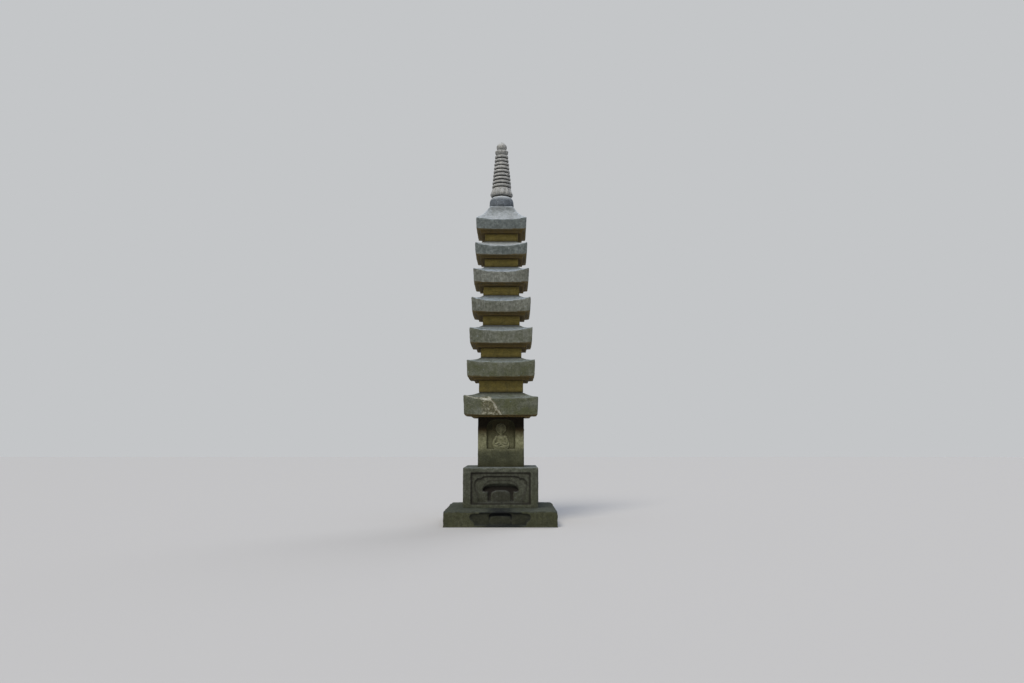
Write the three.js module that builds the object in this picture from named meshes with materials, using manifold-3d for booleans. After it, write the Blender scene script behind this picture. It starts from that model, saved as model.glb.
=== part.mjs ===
// A seven-storey stone pagoda for a garden. Every storey is one square shaft under one thick roof,
// all cut from grey stone and laid dry, on a block and a plinth with cusped panels.
// Millimetres, +Z up, the front faces -Y, the origin is the middle of the plinth's underside.

import * as THREE from 'three';
import { mergeVertices } from 'three/addons/utils/BufferGeometryUtils.js';
import Module from 'manifold-3d';

// Driving dimensions

const SIDES = 4;

const PLINTH_WIDTH = 1630;
const PLINTH_EDGE_HEIGHT = 229;
const PLINTH_SEAT_HEIGHT = 250;
const PLINTH_SEAT_WIDTH = 1120;
const PLINTH_ARRIS = 12;

const BASE_WIDTH = 1100;
const BASE_TOP = 831;
const BASE_ARRIS = 12;

// From the bottom up: the shaft's width and height, the step under the eaves, the roof's width, the
// thickness of its fascia at mid-side, the rise of its corners, and the rise of its upper slope.
const STOREYS = [
  { shaft: 690, shaftHeight: 732, step: 28, roof: 1110, fascia: 245, lift: 46, slope: 99 },
  { shaft: 670, shaftHeight: 184, step: 38, roof: 1025, fascia: 221, lift: 32, slope: 89 },
  { shaft: 620, shaftHeight: 145, step: 53, roof: 955, fascia: 195, lift: 44, slope: 105 },
  { shaft: 570, shaftHeight: 143, step: 38, roof: 905, fascia: 172, lift: 58, slope: 111 },
  { shaft: 555, shaftHeight: 140, step: 35, roof: 855, fascia: 171, lift: 55, slope: 104 },
  { shaft: 525, shaftHeight: 126, step: 33, roof: 805, fascia: 148, lift: 53, slope: 98 },
  { shaft: 515, shaftHeight: 120, step: 42, roof: 785, fascia: 158, lift: 34, slope: 270 },
];
const FINIAL_SEAT_WIDTH = 410;
const SHAFT_ARRIS = 8;
const STEP_SHARE = 0.5;
const FASCIA_LEAN = 12;
const UNDERSIDE_LIFT_SHARE = 0.3;
const LIFT_POWER = 3;
const SLOPE_HOLLOW = 0.55;
const SLOPE_RINGS = 4;
const EAVE_POINTS = 8;

// The lowest roof lost a flake of its front fascia, and its front right corner is worn round.
const FLAKE_LEFT = -330;
const FLAKE_TOP_RIGHT = -150;
const FLAKE_BOTTOM_RIGHT = 30;
const FLAKE_DEPTH = 30;
const FLAKE_LEFT_DEPTH = 8;
const FLAKE_WALL_LEAN = 16;
const WORN_CORNER = 22;

// Panels are sunk into the face of the stone by their depth. A mound stands up from the floor of
// the arch to its own depth.
const PLINTH_CARVING = {
  panel: { halfWidth: 440, bottom: 22, top: 206, depth: 16 },
  arch: { halfWidth: 165, bottom: 30, top: 194, shoulder: 60, depth: 52 },
  mound: { halfWidth: 150, bottom: 30, top: 160, shoulder: 70, depth: 20, round: 16 },
};
const BASE_FRAME = { halfWidth: 428, bottom: 55, top: 498, depth: 9 };
const BASE_CARVING = {
  panel: { halfWidth: 386, bottom: 75, top: 448, depth: 24 },
  arch: { halfWidth: 242, bottom: 90, top: 359, shoulder: 105, depth: 78 },
  mound: { halfWidth: 146, bottom: 90, top: 257, shoulder: 90, depth: 28, round: 24 },
};

const NICHE_WIDTH = 420;
const NICHE_SILL = 261;
const NICHE_HEIGHT = 437;
const NICHE_DEPTH = 32;
const NICHE_SHOULDER = 130;
const BODY_HALO = { height: 388, radius: 132, rise: 8 };
const HEAD_HALO = { height: 584, radius: 92, rise: 10 };
// The seated figure's rounded forms: height over the sill, half width, half height and rise.
const FIGURE_FORMS = {
  legs: [42, 128, 42, 28],
  body: [135, 72, 115, 26],
  shoulders: [195, 92, 46, 22],
  head: [298, 42, 52, 28],
  topknot: [348, 20, 20, 22],
};

const FINIAL_BOWL_RADIUS = 184;
const FINIAL_BOWL_HEIGHT = 178;
const LOTUS_TIP_RADIUS = 180;
const LOTUS_TOP_RADIUS = 146;
const LOTUS_HEIGHT = 150;
const LOTUS_PETALS = 12;
const RING_COUNT = 9;
const RING_PITCH = 61;
const RING_THICKNESS = 47;
const RING_ARRIS = 7;
const LOWEST_RING_RADIUS = 147;
const RING_TAPER = 5.5;
const RING_GROOVE = 18;
const UPPER_LOTUS_RADIUS = 112;
const UPPER_LOTUS_HEIGHT = 82;
const JEWEL_RADIUS = 86;
const JEWEL_HEIGHT = 172;

const TURNED_SEGMENTS = 24;
const CURVE_SEGMENTS = 5;
// How far a cutter reaches past the surface that it cuts, and a raised form into its ground.
const OVERSHOOT = 20;

const wasm = await Module();
wasm.setup();

const pagoda = new THREE.Group();

function stone(color) {
  return new THREE.MeshStandardMaterial({ color, roughness: 0.95, metalness: 0 });
}

const ROOF_STONE = stone(0x7d7b6e);
const SHAFT_STONE = stone(0x756d50);
const BASE_STONE = stone(0x6c6a60);
const FINIAL_STONE = stone(0x85827a);

function place(name, geometry, material, level) {
  const mesh = new THREE.Mesh(geometry, material);
  mesh.name = name;
  mesh.position.z = level;
  pagoda.add(mesh);
}

// Solids

function solidOf(geometry) {
  const bare = geometry.clone();
  bare.deleteAttribute('normal');
  bare.deleteAttribute('uv');
  const merged = mergeVertices(bare);
  return new wasm.Manifold(new wasm.Mesh({
    numProp: 3,
    vertProperties: new Float32Array(merged.attributes.position.array),
    triVerts: new Uint32Array(merged.index.array),
  }));
}

function geometryOf(solid) {
  const mesh = solid.getMesh();
  const geometry = new THREE.BufferGeometry();
  geometry.setAttribute('position', new THREE.BufferAttribute(mesh.vertProperties, 3));
  geometry.setIndex(new THREE.BufferAttribute(mesh.triVerts, 1));
  geometry.computeVertexNormals();
  return geometry;
}

// A closed skin through rings of equal count, each ring anticlockwise seen from the last one's side.
function loft(rings) {
  const count = rings[0].length;
  const first = rings[0];
  const last = rings[rings.length - 1];
  const points = rings.flat();
  points.push(middle(first), middle(last));
  const firstMiddle = points.length - 2;
  const lastMiddle = points.length - 1;
  const index = [];
  for (let i = 0; i < count; i += 1) {
    const next = (i + 1) % count;
    for (let level = 0; level < rings.length - 1; level += 1) {
      const low = level * count;
      const high = low + count;
      index.push(low + i, low + next, high + next);
      index.push(low + i, high + next, high + i);
    }
    const top = (rings.length - 1) * count;
    index.push(firstMiddle, next, i);
    index.push(lastMiddle, top + i, top + next);
  }
  const geometry = new THREE.BufferGeometry().setFromPoints(points);
  geometry.setIndex(index);
  geometry.computeVertexNormals();
  return geometry;
}

function middle(ring) {
  const sum = new THREE.Vector3();
  ring.forEach((point) => sum.add(point));
  return sum.divideScalar(ring.length);
}

// A square of points, closer together towards the corners. The corners may rise. Each may also be
// worn back by some millimetres, and a worn one has lost its rise.
function squareRing(width, z, perSide = 1, lift = 0, worn = [0, 0, 0, 0]) {
  const half = width / 2;
  const ring = [];
  for (let side = 0; side < SIDES; side += 1) {
    for (let i = 0; i < perSide; i += 1) {
      const along = -Math.cos((Math.PI * i) / perSide);
      const wear = i === 0 ? worn[side] : 0;
      const rise = wear > 0 ? 0 : lift * Math.abs(along) ** LIFT_POWER;
      const point = new THREE.Vector3(along * half + wear, wear - half, z + rise);
      ring.push(turned(point, side));
    }
  }
  return ring;
}

function turned(point, side) {
  const [cos, sin] = [[1, 0], [0, 1], [-1, 0], [0, -1]][side];
  return new THREE.Vector3(point.x * cos - point.y * sin, point.x * sin + point.y * cos, point.z);
}

// Carving on the four faces

// A prism whose outline is drawn on the front face, from depth inside the face to well outside it.
function faceCutter(shape, width, depth, side) {
  const geometry = new THREE.ExtrudeGeometry(shape, {
    depth: depth + OVERSHOOT,
    bevelEnabled: false,
    curveSegments: CURVE_SEGMENTS,
  });
  geometry.rotateX(Math.PI / 2);
  geometry.translate(0, depth - width / 2, 0);
  geometry.rotateZ((side * Math.PI) / 2);
  return solidOf(geometry);
}

// A raised cushion on the floor of a recess, with its edge rounded.
function faceCushion(shape, width, floorDepth, topDepth, round, side) {
  const geometry = new THREE.ExtrudeGeometry(shape, {
    depth: floorDepth - topDepth - round + OVERSHOOT,
    bevelThickness: round,
    bevelSize: round,
    bevelOffset: -round,
    bevelSegments: 3,
    curveSegments: CURVE_SEGMENTS,
  });
  geometry.rotateX(Math.PI / 2);
  geometry.translate(0, floorDepth + OVERSHOOT - width / 2, 0);
  geometry.rotateZ((side * Math.PI) / 2);
  return solidOf(geometry);
}

function rectangle({ halfWidth, bottom, top }) {
  const shape = new THREE.Shape();
  shape.moveTo(-halfWidth, bottom);
  shape.lineTo(halfWidth, bottom);
  shape.lineTo(halfWidth, top);
  shape.lineTo(-halfWidth, top);
  return shape;
}

// The outline of a cusped panel: a flat crown, a cusp and a round shoulder on each side, then a
// flank that draws in and a foot that flares.
function cuspedPanel({ halfWidth, bottom, top }) {
  const height = top - bottom;
  const right = [
    [0.86, 0.0], [0.84, 0.1], [0.87, 0.25], [0.97, 0.45], [1.0, 0.65], [0.96, 0.82], [0.86, 0.91],
    [0.74, 0.9], [0.68, 0.97], [0.5, 1.0],
  ];
  const left = right.map(([x, z]) => [-x, z]).reverse();
  const corners = [...right, ...left];
  return new THREE.Shape(corners.map(([x, z]) => new THREE.Vector2(x * halfWidth, bottom + z * height)));
}

// An opening with straight sides and a flattened arch over them.
function flatArch({ halfWidth, bottom, top, shoulder }) {
  const shape = new THREE.Shape();
  shape.moveTo(-halfWidth, bottom);
  shape.lineTo(halfWidth, bottom);
  shape.lineTo(halfWidth, top - shoulder);
  shape.quadraticCurveTo(halfWidth, top - shoulder * 0.12, halfWidth - shoulder, top);
  shape.lineTo(shoulder - halfWidth, top);
  shape.quadraticCurveTo(-halfWidth, top - shoulder * 0.12, -halfWidth, top - shoulder);
  return shape;
}

// The carving of one stone, the same on its four faces.
function carved(blank, width, { panel, arch, mound }, frame) {
  let solid = solidOf(blank);
  for (let side = 0; side < SIDES; side += 1) {
    if (frame) {
      solid = solid.subtract(faceCutter(rectangle(frame), width, frame.depth, side));
    }
    solid = solid.subtract(faceCutter(cuspedPanel(panel), width, panel.depth, side));
    solid = solid.subtract(faceCutter(flatArch(arch), width, arch.depth, side));
    const cushion = faceCushion(flatArch(mound), width, arch.depth, mound.depth, mound.round, side);
    solid = solid.add(cushion);
  }
  return geometryOf(solid);
}

function plinth() {
  const blank = loft([
    squareRing(PLINTH_WIDTH, 0),
    squareRing(PLINTH_WIDTH, PLINTH_EDGE_HEIGHT - PLINTH_ARRIS),
    squareRing(PLINTH_WIDTH - 2 * PLINTH_ARRIS, PLINTH_EDGE_HEIGHT),
    squareRing(PLINTH_SEAT_WIDTH, PLINTH_SEAT_HEIGHT),
  ]);
  return carved(blank, PLINTH_WIDTH, PLINTH_CARVING);
}

function baseBlock() {
  const height = BASE_TOP - PLINTH_SEAT_HEIGHT;
  const blank = loft([
    squareRing(BASE_WIDTH, 0),
    squareRing(BASE_WIDTH, height - BASE_ARRIS),
    squareRing(BASE_WIDTH - 2 * BASE_ARRIS, height),
  ]);
  return carved(blank, BASE_WIDTH, BASE_CARVING, BASE_FRAME);
}

// Shafts

function plainShaft(width, height) {
  const half = width / 2;
  const inner = half - SHAFT_ARRIS;
  const outline = new THREE.Shape([
    new THREE.Vector2(-inner, -half), new THREE.Vector2(inner, -half),
    new THREE.Vector2(half, -inner), new THREE.Vector2(half, inner),
    new THREE.Vector2(inner, half), new THREE.Vector2(-inner, half),
    new THREE.Vector2(-half, inner), new THREE.Vector2(-half, -inner),
  ]);
  return new THREE.ExtrudeGeometry(outline, { depth: height, bevelEnabled: false });
}

const NICHE_FLOOR = NICHE_DEPTH - STOREYS[0].shaft / 2;

// A rounded form of the relief, lying on the floor of the niche on one side.
function reliefForm([height, halfWidth, halfHeight, rise], side) {
  const geometry = new THREE.SphereGeometry(1, 12, 8);
  geometry.scale(halfWidth, rise, halfHeight);
  geometry.translate(0, NICHE_FLOOR, NICHE_SILL + height);
  geometry.rotateZ((side * Math.PI) / 2);
  return solidOf(geometry);
}

function haloDisc({ height, radius, rise }, side) {
  const geometry = new THREE.CylinderGeometry(radius, radius - rise, 2 * rise, TURNED_SEGMENTS);
  geometry.translate(0, NICHE_FLOOR, height);
  geometry.rotateZ((side * Math.PI) / 2);
  return solidOf(geometry);
}

// A seated figure in low relief on two haloes.
function seatedFigure(side) {
  const haloes = haloDisc(BODY_HALO, side).add(haloDisc(HEAD_HALO, side));
  return Object.values(FIGURE_FORMS).reduce((figure, form) => figure.add(reliefForm(form, side)), haloes);
}

function firstShaft({ shaft, shaftHeight }) {
  let solid = solidOf(plainShaft(shaft, shaftHeight));
  const niche = flatArch({
    halfWidth: NICHE_WIDTH / 2,
    bottom: NICHE_SILL,
    top: NICHE_SILL + NICHE_HEIGHT,
    shoulder: NICHE_SHOULDER,
  });
  for (let side = 0; side < SIDES; side += 1) {
    solid = solid.subtract(faceCutter(niche, shaft, NICHE_DEPTH, side));
    solid = solid.add(seatedFigure(side));
  }
  return geometryOf(solid);
}

// Roofs

function roofRings(storey, topWidth, worn) {
  const { shaft, step, roof, fascia, lift, slope } = storey;
  const stepWidth = shaft + STEP_SHARE * (roof - shaft);
  const eaveTop = step + fascia;
  const underLift = UNDERSIDE_LIFT_SHARE * lift;
  const rings = [
    squareRing(stepWidth, 0, EAVE_POINTS),
    squareRing(stepWidth, step, EAVE_POINTS),
    squareRing(roof - 2 * FASCIA_LEAN, step, EAVE_POINTS, underLift, worn),
  ];
  for (let i = 0; i <= SLOPE_RINGS; i += 1) {
    const inward = i / SLOPE_RINGS;
    const width = roof + (topWidth - roof) * inward;
    const rise = slope * ((1 - SLOPE_HOLLOW) * inward + SLOPE_HOLLOW * inward ** 2);
    const ringWorn = i === 0 ? worn : undefined;
    rings.push(squareRing(width, eaveTop + rise, EAVE_POINTS, lift * (1 - inward) ** 2, ringWorn));
  }
  return rings;
}

// The flake is shallow at its left and deepest along its slanting right edge, whose broken wall
// leans outwards.
function flakeCutter({ step, roof, fascia }) {
  const face = -roof / 2;
  const low = step - OVERSHOOT;
  const high = step + fascia + OVERSHOOT;
  const outline = (shift, leftDepth, rightDepth) => [
    new THREE.Vector3(FLAKE_LEFT - shift, face + leftDepth, low),
    new THREE.Vector3(FLAKE_BOTTOM_RIGHT + shift, face + rightDepth, low),
    new THREE.Vector3(FLAKE_TOP_RIGHT + shift, face + rightDepth, high),
    new THREE.Vector3(FLAKE_LEFT - shift, face + leftDepth, high),
  ];
  const back = outline(-FLAKE_WALL_LEAN, FLAKE_LEFT_DEPTH, FLAKE_DEPTH);
  const front = outline(FLAKE_WALL_LEAN, -OVERSHOOT, -OVERSHOOT);
  return solidOf(loft([back, front]));
}

function roofStone(storey, topWidth, isLowest) {
  const worn = isLowest ? [0, WORN_CORNER, 0, 0] : undefined;
  const whole = loft(roofRings(storey, topWidth, worn));
  if (!isLowest) {
    return whole;
  }
  return geometryOf(solidOf(whole).subtract(flakeCutter(storey)));
}

// Finial

function lathe(profile) {
  const points = profile.map(([radius, z]) => new THREE.Vector2(radius, z));
  const geometry = new THREE.LatheGeometry(points, TURNED_SEGMENTS);
  geometry.rotateX(Math.PI / 2);
  return geometryOf(solidOf(geometry));
}

function finialBowl() {
  const r = FINIAL_BOWL_RADIUS;
  const h = FINIAL_BOWL_HEIGHT;
  return lathe([
    [0, 0], [r - 14, 0], [r - 3, 0.16 * h], [r, 0.36 * h], [r - 5, 0.6 * h], [r - 18, 0.82 * h],
    [r - 36, 0.95 * h], [r - 62, h], [0, h],
  ]);
}

// A ring of petals: the outline swells in the middle of each one.
function petalRing(radius, z, swell, petals) {
  const steps = petals * 4;
  const ring = [];
  for (let i = 0; i < steps; i += 1) {
    const angle = (2 * Math.PI * i) / steps;
    const out = radius + swell * Math.abs(Math.sin((angle * petals) / 2));
    ring.push(new THREE.Vector3(out * Math.cos(angle), out * Math.sin(angle), z));
  }
  return ring;
}

function finialLotus() {
  const tip = LOTUS_TIP_RADIUS;
  const top = LOTUS_TOP_RADIUS;
  const h = LOTUS_HEIGHT;
  return loft([
    petalRing(tip - 44, 0, 0, LOTUS_PETALS),
    petalRing(tip - 34, 0.08 * h, 0, LOTUS_PETALS),
    petalRing(tip - 18, 0.12 * h, 18, LOTUS_PETALS),
    petalRing(tip - 20, 0.3 * h, 16, LOTUS_PETALS),
    petalRing(tip - 28, 0.6 * h, 12, LOTUS_PETALS),
    petalRing(top, 0.88 * h, 3, LOTUS_PETALS),
    petalRing(top - 8, h, 0, LOTUS_PETALS),
  ]);
}

function finialRings() {
  const profile = [[0, 0]];
  for (let i = 0; i < RING_COUNT; i += 1) {
    const radius = LOWEST_RING_RADIUS - RING_TAPER * i;
    const core = radius - RING_GROOVE;
    const z = RING_PITCH * i;
    profile.push([core, z]);
    profile.push([radius, z + RING_PITCH - RING_THICKNESS]);
    profile.push([radius, z + RING_PITCH - RING_ARRIS]);
  }
  const top = RING_PITCH * RING_COUNT;
  profile.push([LOWEST_RING_RADIUS - RING_TAPER * RING_COUNT - RING_GROOVE, top], [0, top]);
  return lathe(profile);
}

function finialUpperLotus() {
  const r = UPPER_LOTUS_RADIUS;
  const h = UPPER_LOTUS_HEIGHT;
  const petals = 8;
  return loft([
    petalRing(0.62 * r, 0, 0, petals),
    petalRing(0.7 * r, 0.15 * h, 4, petals),
    petalRing(0.86 * r, 0.55 * h, 10, petals),
    petalRing(0.9 * r, 0.85 * h, 0.1 * r, petals),
    petalRing(0.8 * r, h, 0, petals),
  ]);
}

function finialJewel() {
  const r = JEWEL_RADIUS;
  const h = JEWEL_HEIGHT;
  return lathe([
    [0, 0], [0.5 * r, 0], [0.85 * r, 0.14 * h], [r, 0.32 * h], [0.97 * r, 0.48 * h], [0.8 * r, 0.64 * h],
    [0.5 * r, 0.78 * h], [0.22 * r, 0.89 * h], [0.08 * r, 0.96 * h], [0, h],
  ]);
}

// Assembly, from the ground up

place('plinth', plinth(), BASE_STONE, 0);
place('base_block', baseBlock(), BASE_STONE, PLINTH_SEAT_HEIGHT);

let level = BASE_TOP;
STOREYS.forEach((storey, i) => {
  const isLowest = i === 0;
  const shaftName = isLowest ? 'first_storey_shaft' : `storey_shaft_${i + 1}`;
  const shaftGeometry = isLowest ? firstShaft(storey) : plainShaft(storey.shaft, storey.shaftHeight);
  place(shaftName, shaftGeometry, SHAFT_STONE, level);
  level += storey.shaftHeight;

  const above = STOREYS[i + 1];
  const topWidth = above ? above.shaft + 16 : FINIAL_SEAT_WIDTH;
  place(`roof_${i + 1}`, roofStone(storey, topWidth, isLowest), ROOF_STONE, level);
  level += storey.step + storey.fascia + storey.slope;
});

place('finial_bowl', finialBowl(), FINIAL_STONE, level);
level += FINIAL_BOWL_HEIGHT;
place('finial_lotus', finialLotus(), FINIAL_STONE, level);
level += LOTUS_HEIGHT;
place('finial_rings', finialRings(), FINIAL_STONE, level);
level += RING_COUNT * RING_PITCH;
place('finial_upper_lotus', finialUpperLotus(), FINIAL_STONE, level);
level += UPPER_LOTUS_HEIGHT;
place('finial_jewel', finialJewel(), FINIAL_STONE, level);

export default pagoda;
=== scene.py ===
# %% [markdown]
# # A weathered seven-storey stone pagoda
#
# The measured model gives every stone its exact size and place. This lesson gives each stone the
# look of an old one: dressed by hand, rounded by rain, pitted, stained and grown over. Every stone
# is first drawn as a mason would block it out, then carved, then weathered.

# %% Load the measured model
import math
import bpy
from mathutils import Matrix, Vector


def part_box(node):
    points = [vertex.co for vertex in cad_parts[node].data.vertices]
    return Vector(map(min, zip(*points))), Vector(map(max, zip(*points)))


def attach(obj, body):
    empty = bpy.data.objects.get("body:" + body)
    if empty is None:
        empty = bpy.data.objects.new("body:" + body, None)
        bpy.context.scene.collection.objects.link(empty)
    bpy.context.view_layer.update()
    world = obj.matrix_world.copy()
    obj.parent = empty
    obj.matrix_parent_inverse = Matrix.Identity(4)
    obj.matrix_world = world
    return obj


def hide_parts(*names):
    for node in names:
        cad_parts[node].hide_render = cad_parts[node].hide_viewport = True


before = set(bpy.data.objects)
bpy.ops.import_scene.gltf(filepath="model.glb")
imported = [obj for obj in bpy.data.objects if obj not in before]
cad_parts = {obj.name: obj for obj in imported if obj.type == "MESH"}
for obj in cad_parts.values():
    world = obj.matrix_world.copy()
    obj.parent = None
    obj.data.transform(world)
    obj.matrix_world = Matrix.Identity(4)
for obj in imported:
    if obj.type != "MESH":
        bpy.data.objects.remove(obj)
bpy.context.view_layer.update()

from types import SimpleNamespace

import bpy
import numpy as np
from mathutils import Vector, noise

# %% [markdown]
# ## The bench
#
# An operator works on whatever is selected, so each job starts by clearing the selection and
# picking the one piece it is for. A few small helpers keep that in one place.

# %% Keep the bench tidy
MM = 0.001


def bench(*pieces):
    """Leaves only these pieces selected, the last one active."""
    if bpy.context.object and bpy.context.object.mode != "OBJECT":
        bpy.ops.object.mode_set(mode="OBJECT")
    bpy.ops.object.select_all(action="DESELECT")
    for piece in pieces:
        piece.select_set(True)
        bpy.context.view_layer.objects.active = piece


def named(name):
    """Names the thing that was just added."""
    piece = bpy.context.object
    piece.name = name
    if piece.data:
        piece.data.name = name
    return piece


def finish_with(piece, kind, **settings):
    """Adds one modifier, sets it and applies it."""
    bench(piece)
    modifier = piece.modifiers.new(kind.lower(), kind)
    for setting, value in settings.items():
        setattr(modifier, setting, value)
    bpy.ops.object.modifier_apply(modifier=modifier.name)


def settle(piece):
    """Puts the piece's place into its mesh, so that its object sits at the origin."""
    bench(piece)
    bpy.ops.object.transform_apply(location=True, rotation=True, scale=True)


# %% [markdown]
# ## Camera
#
# The view is that of a standing visitor, twelve metres in front of the tower and looking up a
# little. A focal length of 775 pixels across a picture 1024 pixels wide becomes a lens in
# millimetres on a sensor 36 mm wide.

# %% Set the camera
PICTURE_WIDTH = 1024
FOCAL_PIXELS = 775
SENSOR_WIDTH = 36
VIEW_DISTANCE = 12.0
VIEW_HEIGHT = 1.226
VIEW_TILT = 7.24
TOWER_OFF_CENTRE = 512 - 501.3

bench()
bpy.ops.object.camera_add(
    location=(TOWER_OFF_CENTRE / FOCAL_PIXELS * VIEW_DISTANCE, -VIEW_DISTANCE, VIEW_HEIGHT),
    rotation=(math.radians(90 + VIEW_TILT), 0, 0),
)
camera = named("visitor_view")
camera.data.sensor_width = SENSOR_WIDTH
camera.data.lens = FOCAL_PIXELS / PICTURE_WIDTH * SENSOR_WIDTH
bpy.context.scene.camera = camera
print("lens", round(camera.data.lens, 2), "mm")

# %% [markdown]
# ## Floor and light
#
# Three soft lamps take the place of daylight: a warm one from the front left, a blue one from
# straight above that only brightens what faces up, and a weak one from behind. A weak even
# background fills the shadows under the eaves; the camera sees it as a plain grey wall. The colours
# are shown without a film curve, so the hex values of the finishes come out as chosen.

# %% Lay the floor and light the scene
FLOOR_SIZE, FLOOR_DROP = 90, 0.001
FILL_STRENGTH = 0.22


def linear(hex_colour):
    """Turns an sRGB hex colour into the linear values that Blender works with."""
    channels = [int(hex_colour[i : i + 2], 16) / 255 for i in (1, 3, 5)]
    return tuple(c / 12.92 if c <= 0.04045 else ((c + 0.055) / 1.055) ** 2.4 for c in channels) + (1.0,)


def add_node(tree, kind, settings=None, links=None):
    """Adds one node, sets its options and unlinked sockets, and links the others."""
    node = tree.nodes.new(kind)
    for key, value in (settings or {}).items():
        if isinstance(key, int) or key in node.inputs:
            node.inputs[key].default_value = value
        else:
            setattr(node, key, value)
    for key, source in (links or {}).items():
        tree.links.new(source, node.inputs[key])
    return node


def soft_sun(name, azimuth, elevation, softness, strength, colour):
    """A far, wide lamp that lights everything alike; azimuth 0 shines from the front."""
    bench()
    bpy.ops.object.light_add(type="SUN")
    lamp = named(name)
    lamp.data.angle = math.radians(softness)
    lamp.data.energy = strength
    lamp.data.color = linear(colour)[:3]
    lamp.rotation_euler = (math.radians(90 - elevation), 0, math.radians(azimuth))


bench()
bpy.ops.mesh.primitive_plane_add(size=FLOOR_SIZE, location=(0, 0, -FLOOR_DROP))
floor = named("floor")
floor_paint = bpy.data.materials.new("matt_pale_floor_paint")
floor_paint.use_nodes = True
floor_shader = floor_paint.node_tree.nodes["Principled BSDF"]
floor_shader.inputs["Base Color"].default_value = linear("#b9b7b2")
floor_shader.inputs["Roughness"].default_value = 0.95
floor.data.materials.append(floor_paint)

soft_sun("front_window", -24, 50, 24, 2.3, "#fff8ee")
soft_sun("overhead_window", 0, 84, 60, 1.2, "#c8daff")
soft_sun("back_window", 150, 45, 30, 0.8, "#f2f5ff")

world = bpy.data.worlds.new("pale_studio")
bpy.context.scene.world = world
world.use_nodes = True
sky_tree = world.node_tree
fill = sky_tree.nodes["Background"]
fill.inputs["Color"].default_value = linear("#eef1f5")
fill.inputs["Strength"].default_value = FILL_STRENGTH
backdrop = add_node(sky_tree, "ShaderNodeBackground", {"Color": linear("#c4c6c8"), "Strength": 1.0})
seen = add_node(sky_tree, "ShaderNodeLightPath").outputs["Is Camera Ray"]
mixed = {0: seen, 1: fill.outputs[0], 2: backdrop.outputs[0]}
both = add_node(sky_tree, "ShaderNodeMixShader", links=mixed)
sky_tree.links.new(both.outputs[0], sky_tree.nodes["World Output"].inputs["Surface"])
bpy.context.scene.view_settings.view_transform = "Standard"
print("floor, three lamps and a pale background")

# %% [markdown]
# ## The sizes of the stones
#
# A tower like this is a pile of cut stones, each shaft and roof a little smaller than the one
# below. The table holds the same measures as the model: they say how thick each eave is, how much
# its corners lift and how steeply it slopes. Only the seat of the finial is drawn a little narrower.

# %% Write down the storeys
STOREYS = [
    # shaft width, shaft height, step, roof width, fascia, corner lift, slope height, in mm
    (690, 732, 28, 1110, 245, 46, 99),
    (670, 184, 38, 1025, 221, 32, 89),
    (620, 145, 53, 955, 195, 44, 105),
    (570, 143, 38, 905, 172, 58, 111),
    (555, 140, 35, 855, 171, 55, 104),
    (525, 126, 33, 805, 148, 53, 98),
    (515, 120, 42, 785, 158, 34, 270),
]
FINIAL_SEAT_WIDTH = 368
SEAT_MARGIN = 16
SIDES = 4

SHAFT_NODES = ["first_storey_shaft"] + [f"storey_shaft_{i}" for i in range(2, 8)]
ROOF_NODES = [f"roof_{i}" for i in range(1, 8)]

# %% [markdown]
# ## Blocking out
#
# A mason starts from a block and works it course by course. Here a flat grid or disc is drawn up
# ring by ring: extrude, then widen or narrow. It keeps the block closed, gives rows of points along
# each side to bend later, and the same few lines make a roof, a shaft or a turned bowl.

# %% Draw a block up ring by ring
GRID_STEPS, ROUND_STEPS = 24, 64


def open_mesh(piece):
    """Goes into edit mode on one piece, with all of it selected."""
    bench(piece)
    bpy.ops.object.mode_set(mode="EDIT")
    bpy.ops.mesh.select_all(action="SELECT")


def draw_out(offset):
    """Extrudes what is selected and moves it by this much."""
    bpy.ops.mesh.extrude_region_move(TRANSFORM_OT_translate={"value": offset})


def close_mesh():
    """Turns all the faces outwards and leaves edit mode."""
    bpy.ops.mesh.select_all(action="SELECT")
    bpy.ops.mesh.normals_make_consistent(inside=False)
    bpy.ops.object.mode_set(mode="OBJECT")


def grown_block(node, rings, turned=False):
    """A closed block from rings of (half width, height) in metres, square or turned."""
    reach, level = rings[0]
    foot = (0, 0, level)
    bench()
    if turned:
        bpy.ops.mesh.primitive_circle_add(vertices=ROUND_STEPS, radius=reach, fill_type="NGON", location=foot)
    else:
        steps = {"x_subdivisions": GRID_STEPS, "y_subdivisions": GRID_STEPS}
        bpy.ops.mesh.primitive_grid_add(size=2 * reach, location=foot, **steps)
    piece = named(f"weathered_{node}")
    open_mesh(piece)
    for (reach, level), (next_reach, next_level) in zip(rings, rings[1:]):
        widening = next_reach / reach
        draw_out((0, 0, next_level - level))
        bpy.ops.transform.resize(value=(widening, widening, 1), center_override=(0, 0, 0))
    close_mesh()
    settle(piece)
    return piece


# %% [markdown]
# ## Carving
#
# A sunk panel is cut with a chisel from the outline drawn on the face. In Blender the outline
# becomes a thin block standing in the face, and a Boolean modifier takes it away. The four faces
# carry the same carving, so the cutter is copied round the tower and joined.

# %% Cut with an outline
OVERCUT = 0.03
ROUNDING_TURN = 30


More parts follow.
